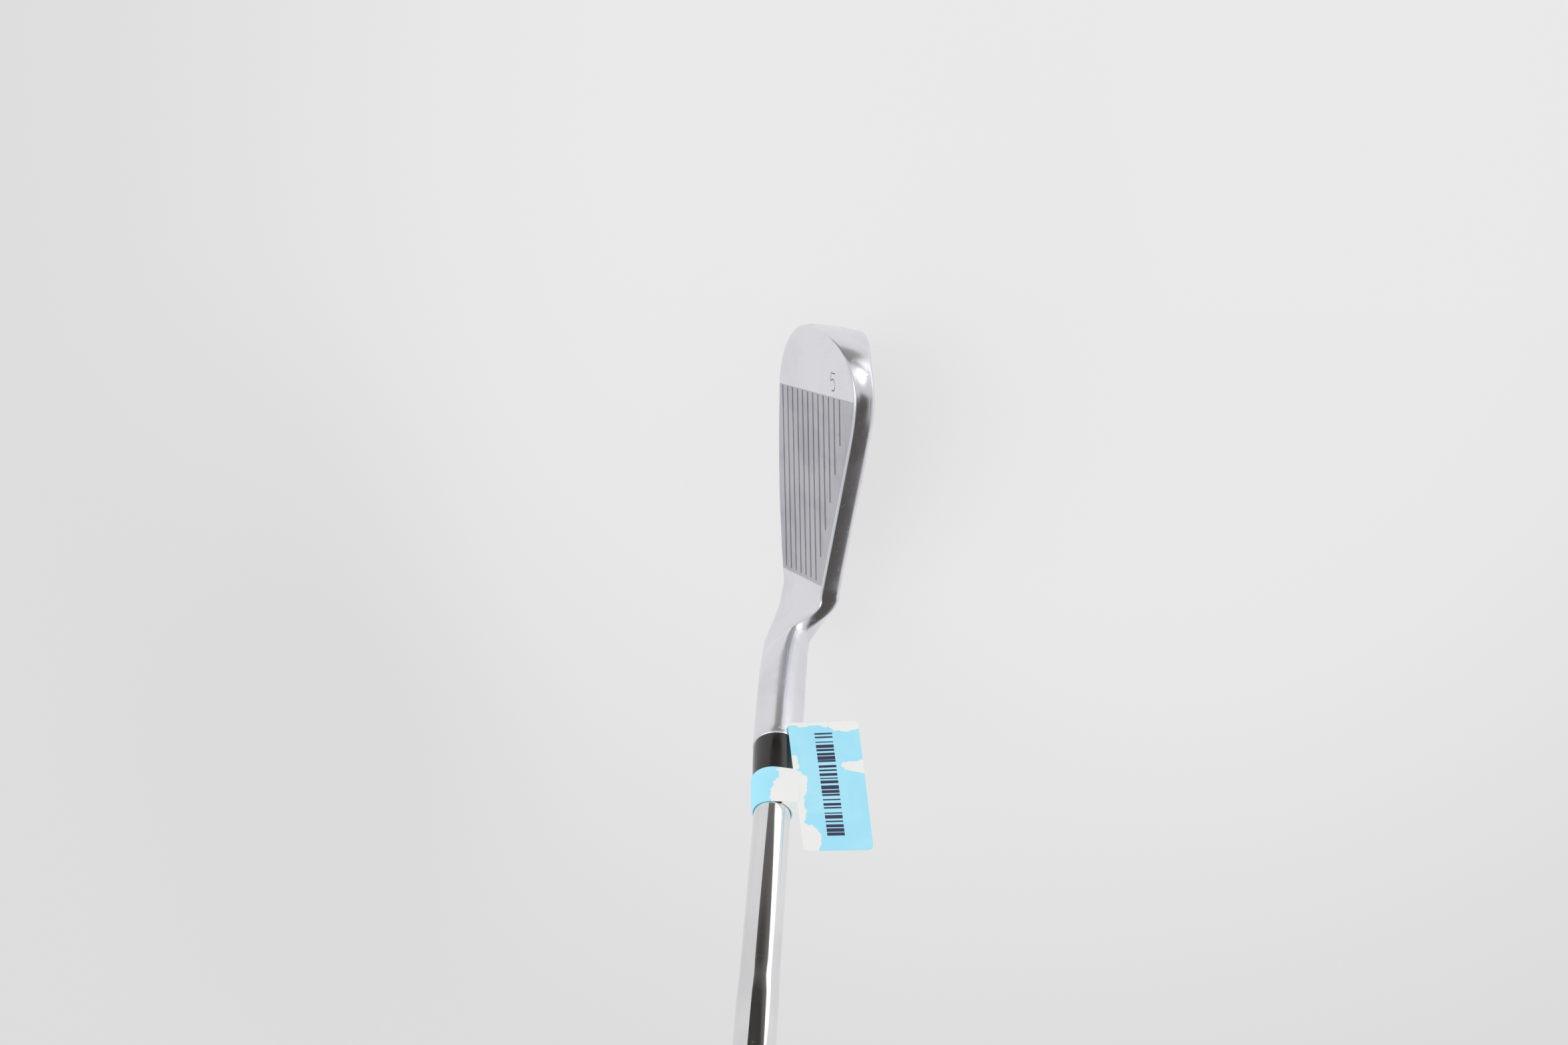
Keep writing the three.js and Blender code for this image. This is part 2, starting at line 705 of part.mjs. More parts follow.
const shaftLine = new THREE.Group();
shaftLine.position.copy(shaftFoot);
shaftLine.rotation.y = Math.PI / 2 - lie;
club.add(shaftLine);

shaftLine.add(namedMesh('shaft', shaftTube(), 0xd4d6da, 0.12, 1));
shaftLine.add(namedMesh('hosel_epoxy', epoxySleeve(), 0xc8b98a, 0.5, 0));
shaftLine.add(namedMesh('tip_weight', weightPin(), 0xc49a4a, 0.35, 1));
shaftLine.add(namedMesh('ferrule', ferruleCollar(), 0x121214, 0.2, 0));
shaftLine.add(namedMesh('flag_label', paperFlag(), 0xa5e8fc, 0.7, 0));
shaftLine.add(namedMesh('shaft_band', foilSleeve(), 0x8f959c, 0.3, 0.8));
shaftLine.add(namedMesh('grip_tape', tapeSleeve(), 0xe2dcc8, 0.9, 0));
shaftLine.add(namedMesh('grip', gripSleeve(), 0x1c1c1d, 0.85, 0));
shaftLine.add(namedMesh('grip_cap', endCap(), 0x18181a, 0.8, 0));

export default club;
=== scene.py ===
# Right-handed iron with a stepped steel shaft, a rubber grip and a paper tag on its ferrule.
# Sizes are millimetres in the club's own frame, and become metres when a mesh is made.
import json
import math
import bmesh
import bpy
from mathutils import Matrix, Vector

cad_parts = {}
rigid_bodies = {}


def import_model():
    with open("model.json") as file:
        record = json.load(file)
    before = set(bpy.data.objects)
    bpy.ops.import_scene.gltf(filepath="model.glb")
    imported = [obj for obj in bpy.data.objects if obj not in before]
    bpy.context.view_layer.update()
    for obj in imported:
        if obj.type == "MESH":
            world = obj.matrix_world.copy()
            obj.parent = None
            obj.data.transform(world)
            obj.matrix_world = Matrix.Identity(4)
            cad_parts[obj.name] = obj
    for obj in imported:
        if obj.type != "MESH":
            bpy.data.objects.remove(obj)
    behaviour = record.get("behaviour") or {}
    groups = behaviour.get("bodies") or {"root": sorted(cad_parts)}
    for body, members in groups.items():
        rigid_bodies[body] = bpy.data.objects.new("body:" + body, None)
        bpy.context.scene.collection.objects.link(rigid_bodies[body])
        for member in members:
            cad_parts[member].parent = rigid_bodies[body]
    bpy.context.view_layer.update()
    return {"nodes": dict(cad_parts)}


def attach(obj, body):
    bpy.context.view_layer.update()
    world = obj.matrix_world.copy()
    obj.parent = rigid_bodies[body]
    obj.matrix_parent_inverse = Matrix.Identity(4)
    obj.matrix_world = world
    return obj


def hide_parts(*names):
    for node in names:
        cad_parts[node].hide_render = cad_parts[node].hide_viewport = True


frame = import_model()
print("frame loaded:", sorted(frame["nodes"]))

toMetres = 0.001
club = {"length": 965, "lie": 61.1, "loft": 27.1}
lie = math.radians(club["lie"])
loft = math.radians(club["loft"])


# Camera above the toe, looking down the club

viewFrom = {
    "place": (-0.09229, 0.03384, 0.53340),
    "right": (0.02176, 0.99703, -0.07391),
    "up": (-0.98018, 0.00672, -0.19798),
    "lens": 42.14,
}


def addCamera(values):
    camera = bpy.data.objects.new("viewCamera", bpy.data.cameras.new("viewCamera"))
    bpy.context.scene.collection.objects.link(camera)
    right = Vector(values["right"]).normalized()
    back = right.cross(Vector(values["up"])).normalized()
    up = back.cross(right)
    turn = Matrix((right, up, back)).transposed().to_4x4()
    camera.matrix_world = Matrix.Translation(values["place"]) @ turn
    camera.data.lens = values["lens"]
    camera.data.sensor_width = 36
    camera.data.clip_start = 0.01
    bpy.context.scene.camera = camera


addCamera(viewFrom)
print("camera placed")


# Small tools for numbers and meshes

def mix(a, b, t):
    return a + (b - a) * t


def clamp01(t):
    return min(1.0, max(0.0, t))


def smooth(t):
    t = clamp01(t)
    return t * t * (3 - 2 * t)


def spread(a, b, count, last=False):
    steps = [mix(a, b, i / count) for i in range(count)]
    return steps + [b] if last else steps


def linkPiece(name, mesh):
    piece = bpy.data.objects.new(name, mesh)
    bpy.context.scene.collection.objects.link(piece)
    return piece


# Merges doubles, turns a closed shell outward and keeps edges crisp where faces meet sharply.
def tidyMesh(mesh, crispAngle=32):
    work = bmesh.new()
    work.from_mesh(mesh)
    bmesh.ops.remove_doubles(work, verts=work.verts, dist=2e-7)
    bmesh.ops.dissolve_degenerate(work, edges=work.edges, dist=1e-7)
    if work.calc_volume(signed=True) < 0:
        bmesh.ops.reverse_faces(work, faces=work.faces)
    limit = math.radians(crispAngle)
    for edge in work.edges:
        edge.smooth = len(edge.link_faces) == 2 and edge.calc_face_angle(0) < limit
    for face in work.faces:
        face.smooth = True
    work.to_mesh(mesh)
    work.free()
    mesh.update()


def meshPiece(name, points, faces, crispAngle=32):
    mesh = bpy.data.meshes.new(name)
    mesh.from_pydata([Vector(p) * toMetres for p in points], [], faces)
    tidyMesh(mesh, crispAngle)
    return linkPiece(name, mesh)


# Quads between rings of equal length. Ends are closed with a fan, or joined round into a loop.
def skinRings(rings, loop=False, caps=True):
    count = len(rings[0])
    points = [p for ring in rings for p in ring]
    faces = []
    pairs = len(rings) if loop else len(rings) - 1
    for r in range(pairs):
        low, high = r * count, ((r + 1) % len(rings)) * count
        for k in range(count):
            n = (k + 1) % count
            faces.append((low + k, low + n, high + n, high + k))
    if caps and not loop:
        for base, flip in ((0, True), ((len(rings) - 1) * count, False)):
            points.append(sum((Vector(points[base + k]) for k in range(count)), Vector()) / count)
            for k in range(count):
                edge = (base + k, base + (k + 1) % count)
                faces.append((edge[::-1] if flip else edge) + (len(points) - 1,))
    return points, faces


# Keeps the evaluated result of an object's modifiers as its plain mesh.
def settle(piece, crispAngle=32):
    bpy.context.view_layer.update()
    evaluated = piece.evaluated_get(bpy.context.evaluated_depsgraph_get())
    mesh = bpy.data.meshes.new_from_object(evaluated)
    piece.modifiers.clear()
    piece.data = mesh
    tidyMesh(mesh, crispAngle)
    return piece


def cutAway(piece, cutter):
    cut = piece.modifiers.new("cut", "BOOLEAN")
    cut.operation = "DIFFERENCE"
    cut.solver = "MANIFOLD"
    cut.material_mode = "INDEX"
    cut.object = cutter
    settle(piece, 30)
    bpy.data.objects.remove(cutter)


# Shaft line: local Z runs up the shaft from the ground

shaftFoot = Vector((28.45, -6.2, 0))
shaftUp = Vector((math.cos(lie), 0, math.sin(lie)))
ontoShaft = Matrix.Translation(shaftFoot * toMetres) @ Matrix.Rotation(math.pi / 2 - lie, 4, "Y")


# Rounds the corners of a closed [radius, height] profile whose third value is the fillet.
def roundedProfile(corners, steps=5):
    profile = []
    for i, (radius, height, fillet) in enumerate(corners):
        here = Vector((radius, height))
        before = Vector(corners[i - 1][:2]) - here
        after = Vector(corners[(i + 1) % len(corners)][:2]) - here
        if fillet <= 0:
            profile.append(here)
            continue
        reach = min(fillet, before.length / 2, after.length / 2)
        start, end = here + before.normalized() * reach, here + after.normalized() * reach
        for t in spread(0, 1, steps, last=True):
            profile.append(start * (1 - t) ** 2 + here * 2 * t * (1 - t) + end * t ** 2)
    return profile


def turnedPiece(name, corners, sides=96, crispAngle=32):
    rings = []
    for radius, height in roundedProfile(corners):
        angles = [2 * math.pi * k / sides for k in range(sides)]
        rings.append([(radius * math.cos(a), radius * math.sin(a), height) for a in angles])
    points, faces = skinRings(rings, loop=True)
    piece = meshPiece(name, points, faces, crispAngle)
    piece.data.transform(ontoShaft)
    return piece


# Club head

grooves = {"count": 12, "full": 7, "pitch": 3.575, "length": 53.7, "width": 0.8, "depth": 0.45, "step": 8.4}
blade = {
    "lowGroove": 6.7, "setback": 7, "toeReach": 18.6, "toeHeight": 18, "crownHeight": 50, "crownReach": 1,
    "leadingDrop": 4.7, "leadingCurve": 0.0022, "toplineWidth": 6.6, "toplineSlope": 0.465, "toeWidth": 14.8,
    "soleWidth": 22.3, "soleTaper": 0.04, "soleCurve": 0.0016, "soleCamber": 5.5, "trailingHeight": 2.7,
    "toeDraft": 5, "edgeRadius": 0.7, "rearRadius": 1.9, "trailingRadius": 2, "crown": 0.1, "toeCrown": 0.34,
}
cavity = {
    "toeEnd": -6, "heelEnd": 49, "rim": 5.8, "barHeight": 6.6, "barWidth": 10,
    "faceThickness": 2.9, "cornerRadius": 7, "draft": 0.8,
}
hosel = {"radius": 6.6, "bore": 5.24, "top": 73.7, "boreDepth": 34, "crotchRadius": 7, "neckRise": 14,
    "chamfer": 0.4}
finish = {"toeStations": 36, "bladeStep": 1.1, "neckSteps": 46, "faceMargin": 0.3, "heelMargin": 1.0}

toeSpan = blade["toeReach"] - blade["crownReach"]
bottomStart = 3
bottomSpan = blade["toeReach"] + bottomStart


def toplineAt(u):
    line = blade["crownHeight"] + 1.4 - blade["toplineSlope"] * u
    return (blade["crownHeight"] + line - math.hypot(blade["crownHeight"] - line, 2)) / 2


# Centre of the inside curve between the topline and the hosel, which the neck turns about.
def crotchCentre():
    reach = hosel["crotchRadius"] + hosel["radius"]
    slope = math.atan(blade["toplineSlope"] * math.cos(loft))

    def heightAt(u):
        return blade["lowGroove"] + toplineAt(u) * math.cos(loft) + hosel["crotchRadius"] / math.cos(slope)

    low, high = 0.0, grooves["length"] * 2
    for _ in range(50):
        u = (low + high) / 2
        alongX = u - grooves["length"] / 2 - shaftFoot.x
        if heightAt(u) * math.cos(lie) - alongX * math.sin(lie) > reach:
            low = u
        else:
            high = u
    return {"u": low, "x": low - grooves["length"] / 2, "z": heightAt(low), "reach": reach, "slope": slope}


crotch = crotchCentre()


def topEdge(u):
    before = crotch["u"] - u
    if before < hosel["crotchRadius"] * math.sin(crotch["slope"]):
        rise = crotch["z"] - math.sqrt(hosel["crotchRadius"] ** 2 - before ** 2)
        return (rise - blade["lowGroove"]) / math.cos(loft)
    if u >= -blade["crownReach"]:
        return toplineAt(u)
    share = clamp01((-blade["crownReach"] - u) / toeSpan)
    fall = (1 - share ** 2.1) ** (1 / 2.1)
    return mix(blade["toeHeight"], toplineAt(-blade["crownReach"]), fall)


def toeRound(u):
    return math.sqrt(1 - clamp01((bottomStart - u) / bottomSpan) ** 2)


def bottomEdge(u):
    along = max(u, bottomStart) - grooves["length"] * 0.56
    return mix(blade["toeHeight"], blade["leadingCurve"] * along ** 2 - blade["leadingDrop"], toeRound(u))


def toplineWidthAt(u):
    share = clamp01((-blade["crownReach"] - u) / toeSpan)
    return mix(blade["toplineWidth"], blade["toeWidth"], share ** 3)


def trailingEdge(u):
    past = max(0, u - bottomStart)
    full = blade["soleWidth"] - blade["soleTaper"] * past - blade["soleCurve"] * past ** 2
    w = mix(blade["toeWidth"], full, toeRound(u) ** 0.7)
    level = (blade["trailingHeight"] - blade["lowGroove"] + w * math.sin(loft)) / math.cos(loft)
    return mix(blade["toeHeight"], level, toeRound(u)), w


def backAt(u, v, top, topWidth, trailing):
    height, width = trailing
    straight = mix(width, topWidth, clamp01((v - height) / (top - height)))
    barTop = height + cavity["barHeight"]
    if v >= barTop:
        slim = mix(cavity["barWidth"], topWidth, clamp01((v - barTop) / max(0.01, top - barTop)))
    else:
        slim = mix(width, cavity["barWidth"], clamp01((v - height) / cavity["barHeight"]))
    middle = smooth((u + 9) / 12) * smooth((cavity["heelEnd"] + 12 - u) / 12)
    return mix(straight, min(slim, straight), middle)


# One closed section across the blade: (v up the face, w back from it, angle round the hosel).
def bladeSection(u):
    top, bottom = topEdge(u), bottomEdge(u)
    scale = clamp01((top - bottom) / 24)
    edge, rear = blade["edgeRadius"] * scale, blade["rearRadius"] * scale
    width, trailing = toplineWidthAt(u), trailingEdge(u)
    section = []

    def add(points, startAngle, endAngle):
        for i, (v, w) in enumerate(points):
            section.append((v, w, mix(startAngle, endAngle, i / len(points))))

    def backPoint(v):
        return v, backAt(u, v, shoulder - rear, width, trailing)

    quarter = math.pi / 2
    crown = mix(blade["toeCrown"], blade["crown"], smooth((u + 5) / 16)) * scale
    shoulder = top - crown
    add([(v, 0) for v in spread(bottom + edge, shoulder - edge, 26)], 130, 5)
    add([(shoulder - edge + edge * math.sin(a), edge - edge * math.cos(a)) for a in spread(0, quarter, 5)],
        5, -4)
    flat = width - rear - edge
    add([(top - crown * (2 * t - 1) ** 2, edge + flat * t) for t in spread(0, 1, 8)], -4, -36)
    add([(shoulder - rear + rear * math.cos(a), width - rear + rear * math.sin(a))
         for a in spread(0, quarter, 6)], -36, -52)
    barTop = min(trailing[0] + cavity["barHeight"], mix(trailing[0], top, 0.4))
    add([backPoint(v) for v in spread(shoulder - rear, barTop, 14)], -52, -112)
    barPoint = backPoint(barTop)
    reach = math.hypot(barPoint[0] - trailing[0], barPoint[1] - trailing[1]) or 1
    nearShare = min(0.5, blade["trailingRadius"] * scale / reach)
    near = (mix(trailing[0], barPoint[0], nearShare), mix(trailing[1], barPoint[1], nearShare))
    add([(mix(barPoint[0], near[0], t), mix(barPoint[1], near[1], t)) for t in spread(0, 1, 5)], -112, -136)
    camber = blade["soleCamber"] * scale
    control = ((trailing[0] + bottom) / 2 - camber * math.cos(loft),
        trailing[1] / 2 + camber * math.sin(loft))

    def curve(a, b, c, t):
        return tuple(a[k] * (1 - t) ** 2 + 2 * b[k] * t * (1 - t) + c[k] * t ** 2 for k in (0, 1))

    def soleAt(t):
        return curve(trailing, control, (bottom, 0), t)

    add([curve(near, trailing, soleAt(0.09), t) for t in spread(0, 1, 6)], -136, -152)
    add([soleAt(t) for t in spread(0.09, 0.96, 22)], -152, -224)
    add([curve(soleAt(0.96), (bottom, 0), (bottom + edge, 0), t) for t in spread(0, 1, 5)], -224, -230)
    return section


def bladePoint(u, v, w):
    toeShare = clamp01((bottomStart - u) / bottomSpan)
    lean = blade["toeDraft"] * toeShare * (w / blade["soleWidth"]) ** 2
    return Vector((
        u + lean - grooves["length"] / 2,
        -blade["setback"] + v * math.sin(loft) + w * math.cos(loft),
        blade["lowGroove"] + v * math.cos(loft) - w * math.sin(loft),
    ))


def bladeStations():
    toeStart = cavity["toeEnd"] - 2
    toe = [mix(toeStart, -blade["toeReach"], math.cos(a))
           for a in spread(0.03, math.pi / 2, finish["toeStations"])]
    zone = (-finish["faceMargin"], grooves["length"] + finish["heelMargin"])
    marks = [toeStart, zone[0], zone[1], crotch["u"]]
    middle = []
    for a, b in zip(marks, marks[1:]):
        middle += spread(a, b, max(2, round((b - a) / finish["bladeStep"])))
    return toe + middle + [crotch["u"]], zone


# Neck: the last blade section swings about the crotch, then rises and closes to a circle.
def neckPoint(place, angleDegrees, t):
    angle = math.radians(angleDegrees)
    swingShare = 0.6
    faceSide = (1 + math.sin(angle)) / 2
    soleSide = smooth(0.7 * (1 - math.cos(angle)))
    swing = clamp01(t / swingShare)
    upper = mix(smooth(t / 0.75), smooth(t), faceSide)
    outward = mix(upper, smooth(swing), soleSide)
    early = mix(smooth(swing), 1 - (1 - swing) ** 3, mix(0.4, 1, faceSide))
    forward = mix(upper, early, soleSide)
    turn = swing * lie
    rise = clamp01((t - swingShare) / (1 - swingShare)) * hosel["neckRise"]
    a = mix(crotch["z"] - place.z, crotch["reach"] - hosel["radius"] * math.cos(angle), outward)
    y = mix(place.y, shaftFoot.y - hosel["radius"] * math.sin(angle), forward)
    return Vector((crotch["x"] + a * math.sin(turn), y, crotch["z"] - a * math.cos(turn))) + shaftUp * rise


def headRings():
    stations, zone = bladeStations()
    rings = [[bladePoint(u, v, w) for v, w, _ in bladeSection(u)] for u in stations]
    last = bladeSection(crotch["u"])
    start = rings[-1]
    steps = finish["neckSteps"]
    for i in range(1, steps + 1):
        rings.append([neckPoint(p, s[2], i / steps) for p, s in zip(start, last)])
    circle = rings[-1]
    centre = (circle[0] - shaftFoot).dot(shaftUp)

    def ringAt(height, radius):
        axisPoint = shaftFoot + shaftUp * height
        scale = radius / hosel["radius"]
        return [axisPoint + (p + shaftUp * (height - centre) - axisPoint) * scale for p in circle]

    radius, top, chamfer = hosel["radius"], hosel["top"], hosel["chamfer"]
    rings += [ringAt(h, radius) for h in spread(centre, top - chamfer, 9, last=True)[1:]]
    rings += [ringAt(top - chamfer * (1 - math.sin(a)), radius - chamfer * (1 - math.cos(a)))
              for a in spread(math.pi / 8, math.pi / 2, 3, last=True)]
    bore = hosel["bore"]
    rings += [ringAt(top, bore + 0.15), ringAt(top - 0.15, bore), ringAt(top - hosel["boreDepth"], bore)]
    return rings, stations, zone


# Pocket outline drawn in by an inset: points run along the lower edge, then back along the upper one.
def pocketOutline(inset, steps=34):
    lower, upper = [], []
    start, end = cavity["toeEnd"] + inset, cavity["heelEnd"] - inset
    for i in range(steps + 1):
        u = mix(start, end, (1 - math.cos(math.pi * i / steps)) / 2)
        foot, top = trailingEdge(u)[0], topEdge(u)
        span = top - foot
        height = max(0, span - cavity["rim"] - cavity["barHeight"])
        radius = max(1, cavity["cornerRadius"] - inset * 0.5)
        corner = 1 - clamp01(min(u - start, end - u) / radius)
        pinch = min(radius, height * 0.45) * (1 - math.sqrt(1 - corner ** 2)) + inset
        lower.append((u, foot + min(cavity["barHeight"], span * 0.33) + pinch))
        upper.append((u, top - min(cavity["rim"], span * 0.34) - pinch))
    return lower + upper[::-1]


def pocketRing(inset, w):
    ring = []
    for u, v in pocketOutline(inset):
        point = bladePoint(u, v, w)
        point.x = u - grooves["length"] / 2
        ring.append(point)
    return ring


def pocketCutter():
    floor, draft = cavity["faceThickness"], cavity["draft"]
    levels = [(draft + 0.9, 0), (draft + 0.35, 0.12), (draft + 0.08, 0.42), (draft, 0.9), (0, 9), (-0.2, 40)]
    points, faces = skinRings([pocketRing(inset, floor + rise) for inset, rise in levels])
    return meshPiece("pocketCutter", points, faces)


# Trapezoid bars that sink into the face, shorter at their foot than at the surface.
def grooveCutters():
    points, faces = [], []
    for row in range(grooves["count"]):
        short = max(0, row - grooves["full"] + 1)
        length = grooves["length"] - (short * grooves["step"] - 1 if short else 0)
        half = grooves["width"] / 2
        levels = [(half + 0.16, -0.3, -0.16), (half, 0, 0), (half * 0.72, grooves["depth"], 0.5)]
        base = len(points)
        for wide, w, inset in levels:
            for u, side in ((inset, -1), (length - inset, -1), (length - inset, 1), (inset, 1)):
                points.append(bladePoint(0, row * grooves["pitch"] + side * wide, w) + Vector((u, 0, 0)))
        for level in range(2):
            low, high = base + level * 4, base + level * 4 + 4
            faces += [(low + k, low + (k + 1) % 4, high + (k + 1) % 4, high + k) for k in range(4)]
        faces += [(base + 3, base + 2, base + 1, base), (base + 8, base + 9, base + 10, base + 11)]
    return meshPiece("grooveCutters", points, faces)


numeral = {"centreU": -4.4, "centreV": 35.3, "height": 4.8, "width": 2.9, "stroke": 0.17, "sink": 0.04}


# Engraved club number: a plain 5 drawn as one stroke, its top towards the toe.
def numeralCutter(values):
    path = [(1, 1), (0.12, 1), (0.04, 0.56)]
    for angle in spread(128, -118, 14, last=True):
        a = math.radians(angle)
        path.append((0.46 + 0.5 * math.cos(a), 0.33 + 0.33 * math.sin(a)))
    places = []
    for across, up in path:
        u = values["centreU"] - (up - 0.5) * values["height"]
        v = values["centreV"] + (across - 0.5) * values["width"]
        places.append(Vector((u, v)))
    rings = []
    for i, here in enumerate(places):
        before, after = places[max(0, i - 1)], places[min(len(places) - 1, i + 1)]
        inward, outward = (here - before), (after - here)
        ahead = (inward.normalized() + outward.normalized()).normalized()
        side = Vector((-ahead.y, ahead.x))
        bend = max(0.5, side.dot(Vector((-outward.y, outward.x)).normalized())) if outward.length else 1
        reach = values["stroke"] / bend
        ring = []
        for share, w in ((-1.25, -0.2), (-1, 0.02), (0, 0.2 + values["sink"]), (1, 0.02), (1.25, -0.2)):
            spot = here + side * reach * share
            point = bladePoint(0, spot.y, w)
            ring.append(point + Vector((spot.x, 0, 0)) - Vector((bladePoint(0, 0,
                0).x + grooves["length"] / 2, 0, 0)))
        rings.append(ring)
    points, faces = skinRings(rings)
    return meshPiece("numeralCutter", points, faces)


def addHead():
    rings, stations, zone = headRings()
    points, faces = skinRings(rings)
    points = [Vector((p[0], p[1], max(0.0, p[2]))) for p in points]
    mesh = bpy.data.meshes.new("headBody")
    mesh.from_pydata([p * toMetres for p in points], [], faces)
    count = len(rings[0])
    for polygon in mesh.polygons:
        ring, k = divmod(polygon.index, count)
        if ring + 1 < len(stations) and k < 26:
            inZone = zone[0] - 0.01 <= stations[ring] and stations[ring + 1] <= zone[1] + 0.01
            polygon.material_index = int(inZone)
    head = linkPiece("headBody", mesh)
    tidyMesh(mesh, 30)
    for index, cutter in ((3, pocketCutter()), (2, grooveCutters()), (2, numeralCutter(numeral))):
        for _ in range(4):
            cutter.data.materials.append(None)
        for polygon in cutter.data.polygons:
            polygon.material_index = index
        for _ in range(4 - len(head.data.materials)):
            head.data.materials.append(None)
        cutAway(head, cutter)
    return head


headBody = addHead()
print("head:", len(headBody.data.polygons), "faces")


# Geometry Nodes trees: each is made here, with its sizes as named inputs

class NodeTree:
    def __init__(self, name):
        self.tree = bpy.data.node_groups.new(name, "GeometryNodeTree")
        self.tree.interface.new_socket(name="Geometry", in_out="INPUT", socket_type="NodeSocketGeometry")
        self.tree.interface.new_socket(name="Geometry", in_out="OUTPUT", socket_type="NodeSocketGeometry")
        self.ids = {}
        self.defaults = {}
        self.inside = self.tree.nodes.new("NodeGroupInput")
        self.outside = self.tree.nodes.new("NodeGroupOutput")

    def size(self, name, value, kind="NodeSocketFloat"):
        socket = self.tree.interface.new_socket(name=name, in_out="INPUT", socket_type=kind)
        self.ids[name] = socket.identifier
        self.defaults[name] = value
        return self.inside.outputs[name]

    def plug(self, source, socket):
        if hasattr(source, "is_output"):
            self.tree.links.new(source, socket)
        elif source is not None:
            socket.default_value = source

    def node(self, kind, inputs=None, **settings):
        made = self.tree.nodes.new(kind)
        for key, value in settings.items():
            setattr(made, key, value)
        for key, source in (inputs or {}).items():
            self.plug(source, made.inputs[key])
        return made

    def math(self, operation, a, b=None, c=None):
        made = self.node("ShaderNodeMath", operation=operation)
        for socket, source in zip(made.inputs, (a, b, c)):
            self.plug(source, socket)
        return made.outputs[0]

    def vector(self, x=0.0, y=0.0, z=0.0):
        return self.node("ShaderNodeCombineXYZ", {"X": x, "Y": y, "Z": z}).outputs[0]

    # Runs the tree on an object, with its inputs set by identifier, and keeps the result as a mesh.
    def build(self, piece, geometry, material, crispAngle=32):
        real = self.node("GeometryNodeRealizeInstances", {"Geometry": geometry})
        coat = self.node("GeometryNodeSetMaterial", {"Geometry": real.outputs[0], "Material": material})
        self.plug(coat.outputs[0], self.outside.inputs[0])
        modifier = piece.modifiers.new("build", "NODES")
        modifier.node_group = self.tree
        for name, value in self.defaults.items():
            modifier[self.ids[name]] = value
        return settle(piece, crispAngle)


# Shader trees: small helpers for materials and for the effects that they share

def shaderNode(tree, kind, inputs=None, **settings):
    made = tree.nodes.new(kind)
    for key, value in settings.items():
        setattr(made, key, value)
    for key, source in (inputs or {}).items():
        if hasattr(source, "is_output"):
            tree.links.new(source, made.inputs[key])
        else:
            made.inputs[key].default_value = source
    return made


def shaderMath(tree, operation, a, b=0.0, c=0.0, clamped=False):
    made = shaderNode(tree, "ShaderNodeMath", {0: a, 1: b, 2: c}, operation=operation)
    made.use_clamp = clamped
    return made.outputs[0]


def remap(tree, value, low, high, newLow=0.0, newHigh=1.0, smoothly=True):
    inputs = {"Value": value, "From Min": low, "From Max": high, "To Min": newLow, "To Max": newHigh}
    made = shaderNode(tree, "ShaderNodeMapRange", inputs)
    made.interpolation_type = "SMOOTHSTEP" if smoothly else "LINEAR"
    return made.outputs["Result"]


def blendColours(tree, share, first, second):
    made = tree.nodes.new("ShaderNodeMix")
    made.data_type = "RGBA"
    for index, source in ((0, share), (6, first), (7, second)):
        if hasattr(source, "is_output"):
            tree.links.new(source, made.inputs[index])
        elif index == 0:
            made.inputs[index].default_value = source
        else:
            made.inputs[index].default_value = (*source, 1)
    return made.outputs[2]


def effectGroup(name, inputs, outputs):
    tree = bpy.data.node_groups.new(name, "ShaderNodeTree")
    for label, value in inputs.items():
        socket = tree.interface.new_socket(name=label, in_out="INPUT", socket_type="NodeSocketFloat")
        socket.default_value = value
    for label in outputs:
        tree.interface.new_socket(name=label, in_out="OUTPUT", socket_type="NodeSocketFloat")
    return tree, tree.nodes.new("NodeGroupInput").outputs, tree.nodes.new("NodeGroupOutput").inputs


# Smudges, fine scratches and specks, which every finish on the club has some of.
def makeHandlingMarks():
    tree, given, out = effectGroup(
        "handlingMarks",
        {"Smudge Scale": 60.0, "Scratch Scale": 900.0, "Speck Scale": 260.0, "Speck Size": 0.06},
        ("Smudge", "Scratch", "Speck"),
    )
    place = shaderNode(tree, "ShaderNodeTexCoord").outputs["Object"]
    smudge = shaderNode(tree, "ShaderNodeTexNoise", {
        "Vector": place, "Scale": given["Smudge Scale"], "Detail": 4.0, "Roughness": 0.55, "Distortion": 0.6})
    tree.links.new(remap(tree, smudge.outputs["Fac"], 0.38, 0.68), out["Smudge"])
    lines = None
    for turn, stretch in (((0.3, 0.5, 0.9), (1.0, 0.04, 1.0)), ((1.1, 0.2, 2.3), (0.05, 1.0, 1.0))):
        mapping = shaderNode(tree, "ShaderNodeMapping", {"Vector": place, "Rotation": turn, "Scale": stretch})
        grain = shaderNode(tree, "ShaderNodeTexNoise", {
            "Vector": mapping.outputs[0], "Scale": given["Scratch Scale"], "Detail": 2.0})
        fine = remap(tree, grain.outputs["Fac"], 0.66, 0.74)
        lines = fine if lines is None else shaderMath(tree, "MAXIMUM", lines, fine)
    tree.links.new(lines, out["Scratch"])
    cells = shaderNode(tree, "ShaderNodeTexVoronoi", {"Vector": place, "Scale": given["Speck Scale"]})
    dot = shaderMath(tree, "LESS_THAN", cells.outputs["Distance"], given["Speck Size"])
    chosen = shaderNode(tree, "ShaderNodeSeparateColor", {0: cells.outputs["Color"]}).outputs[0]
    rare = shaderMath(tree, "GREATER_THAN", chosen, 0.8)
    tree.links.new(shaderMath(tree, "MULTIPLY", dot, rare), out["Speck"])
    return tree


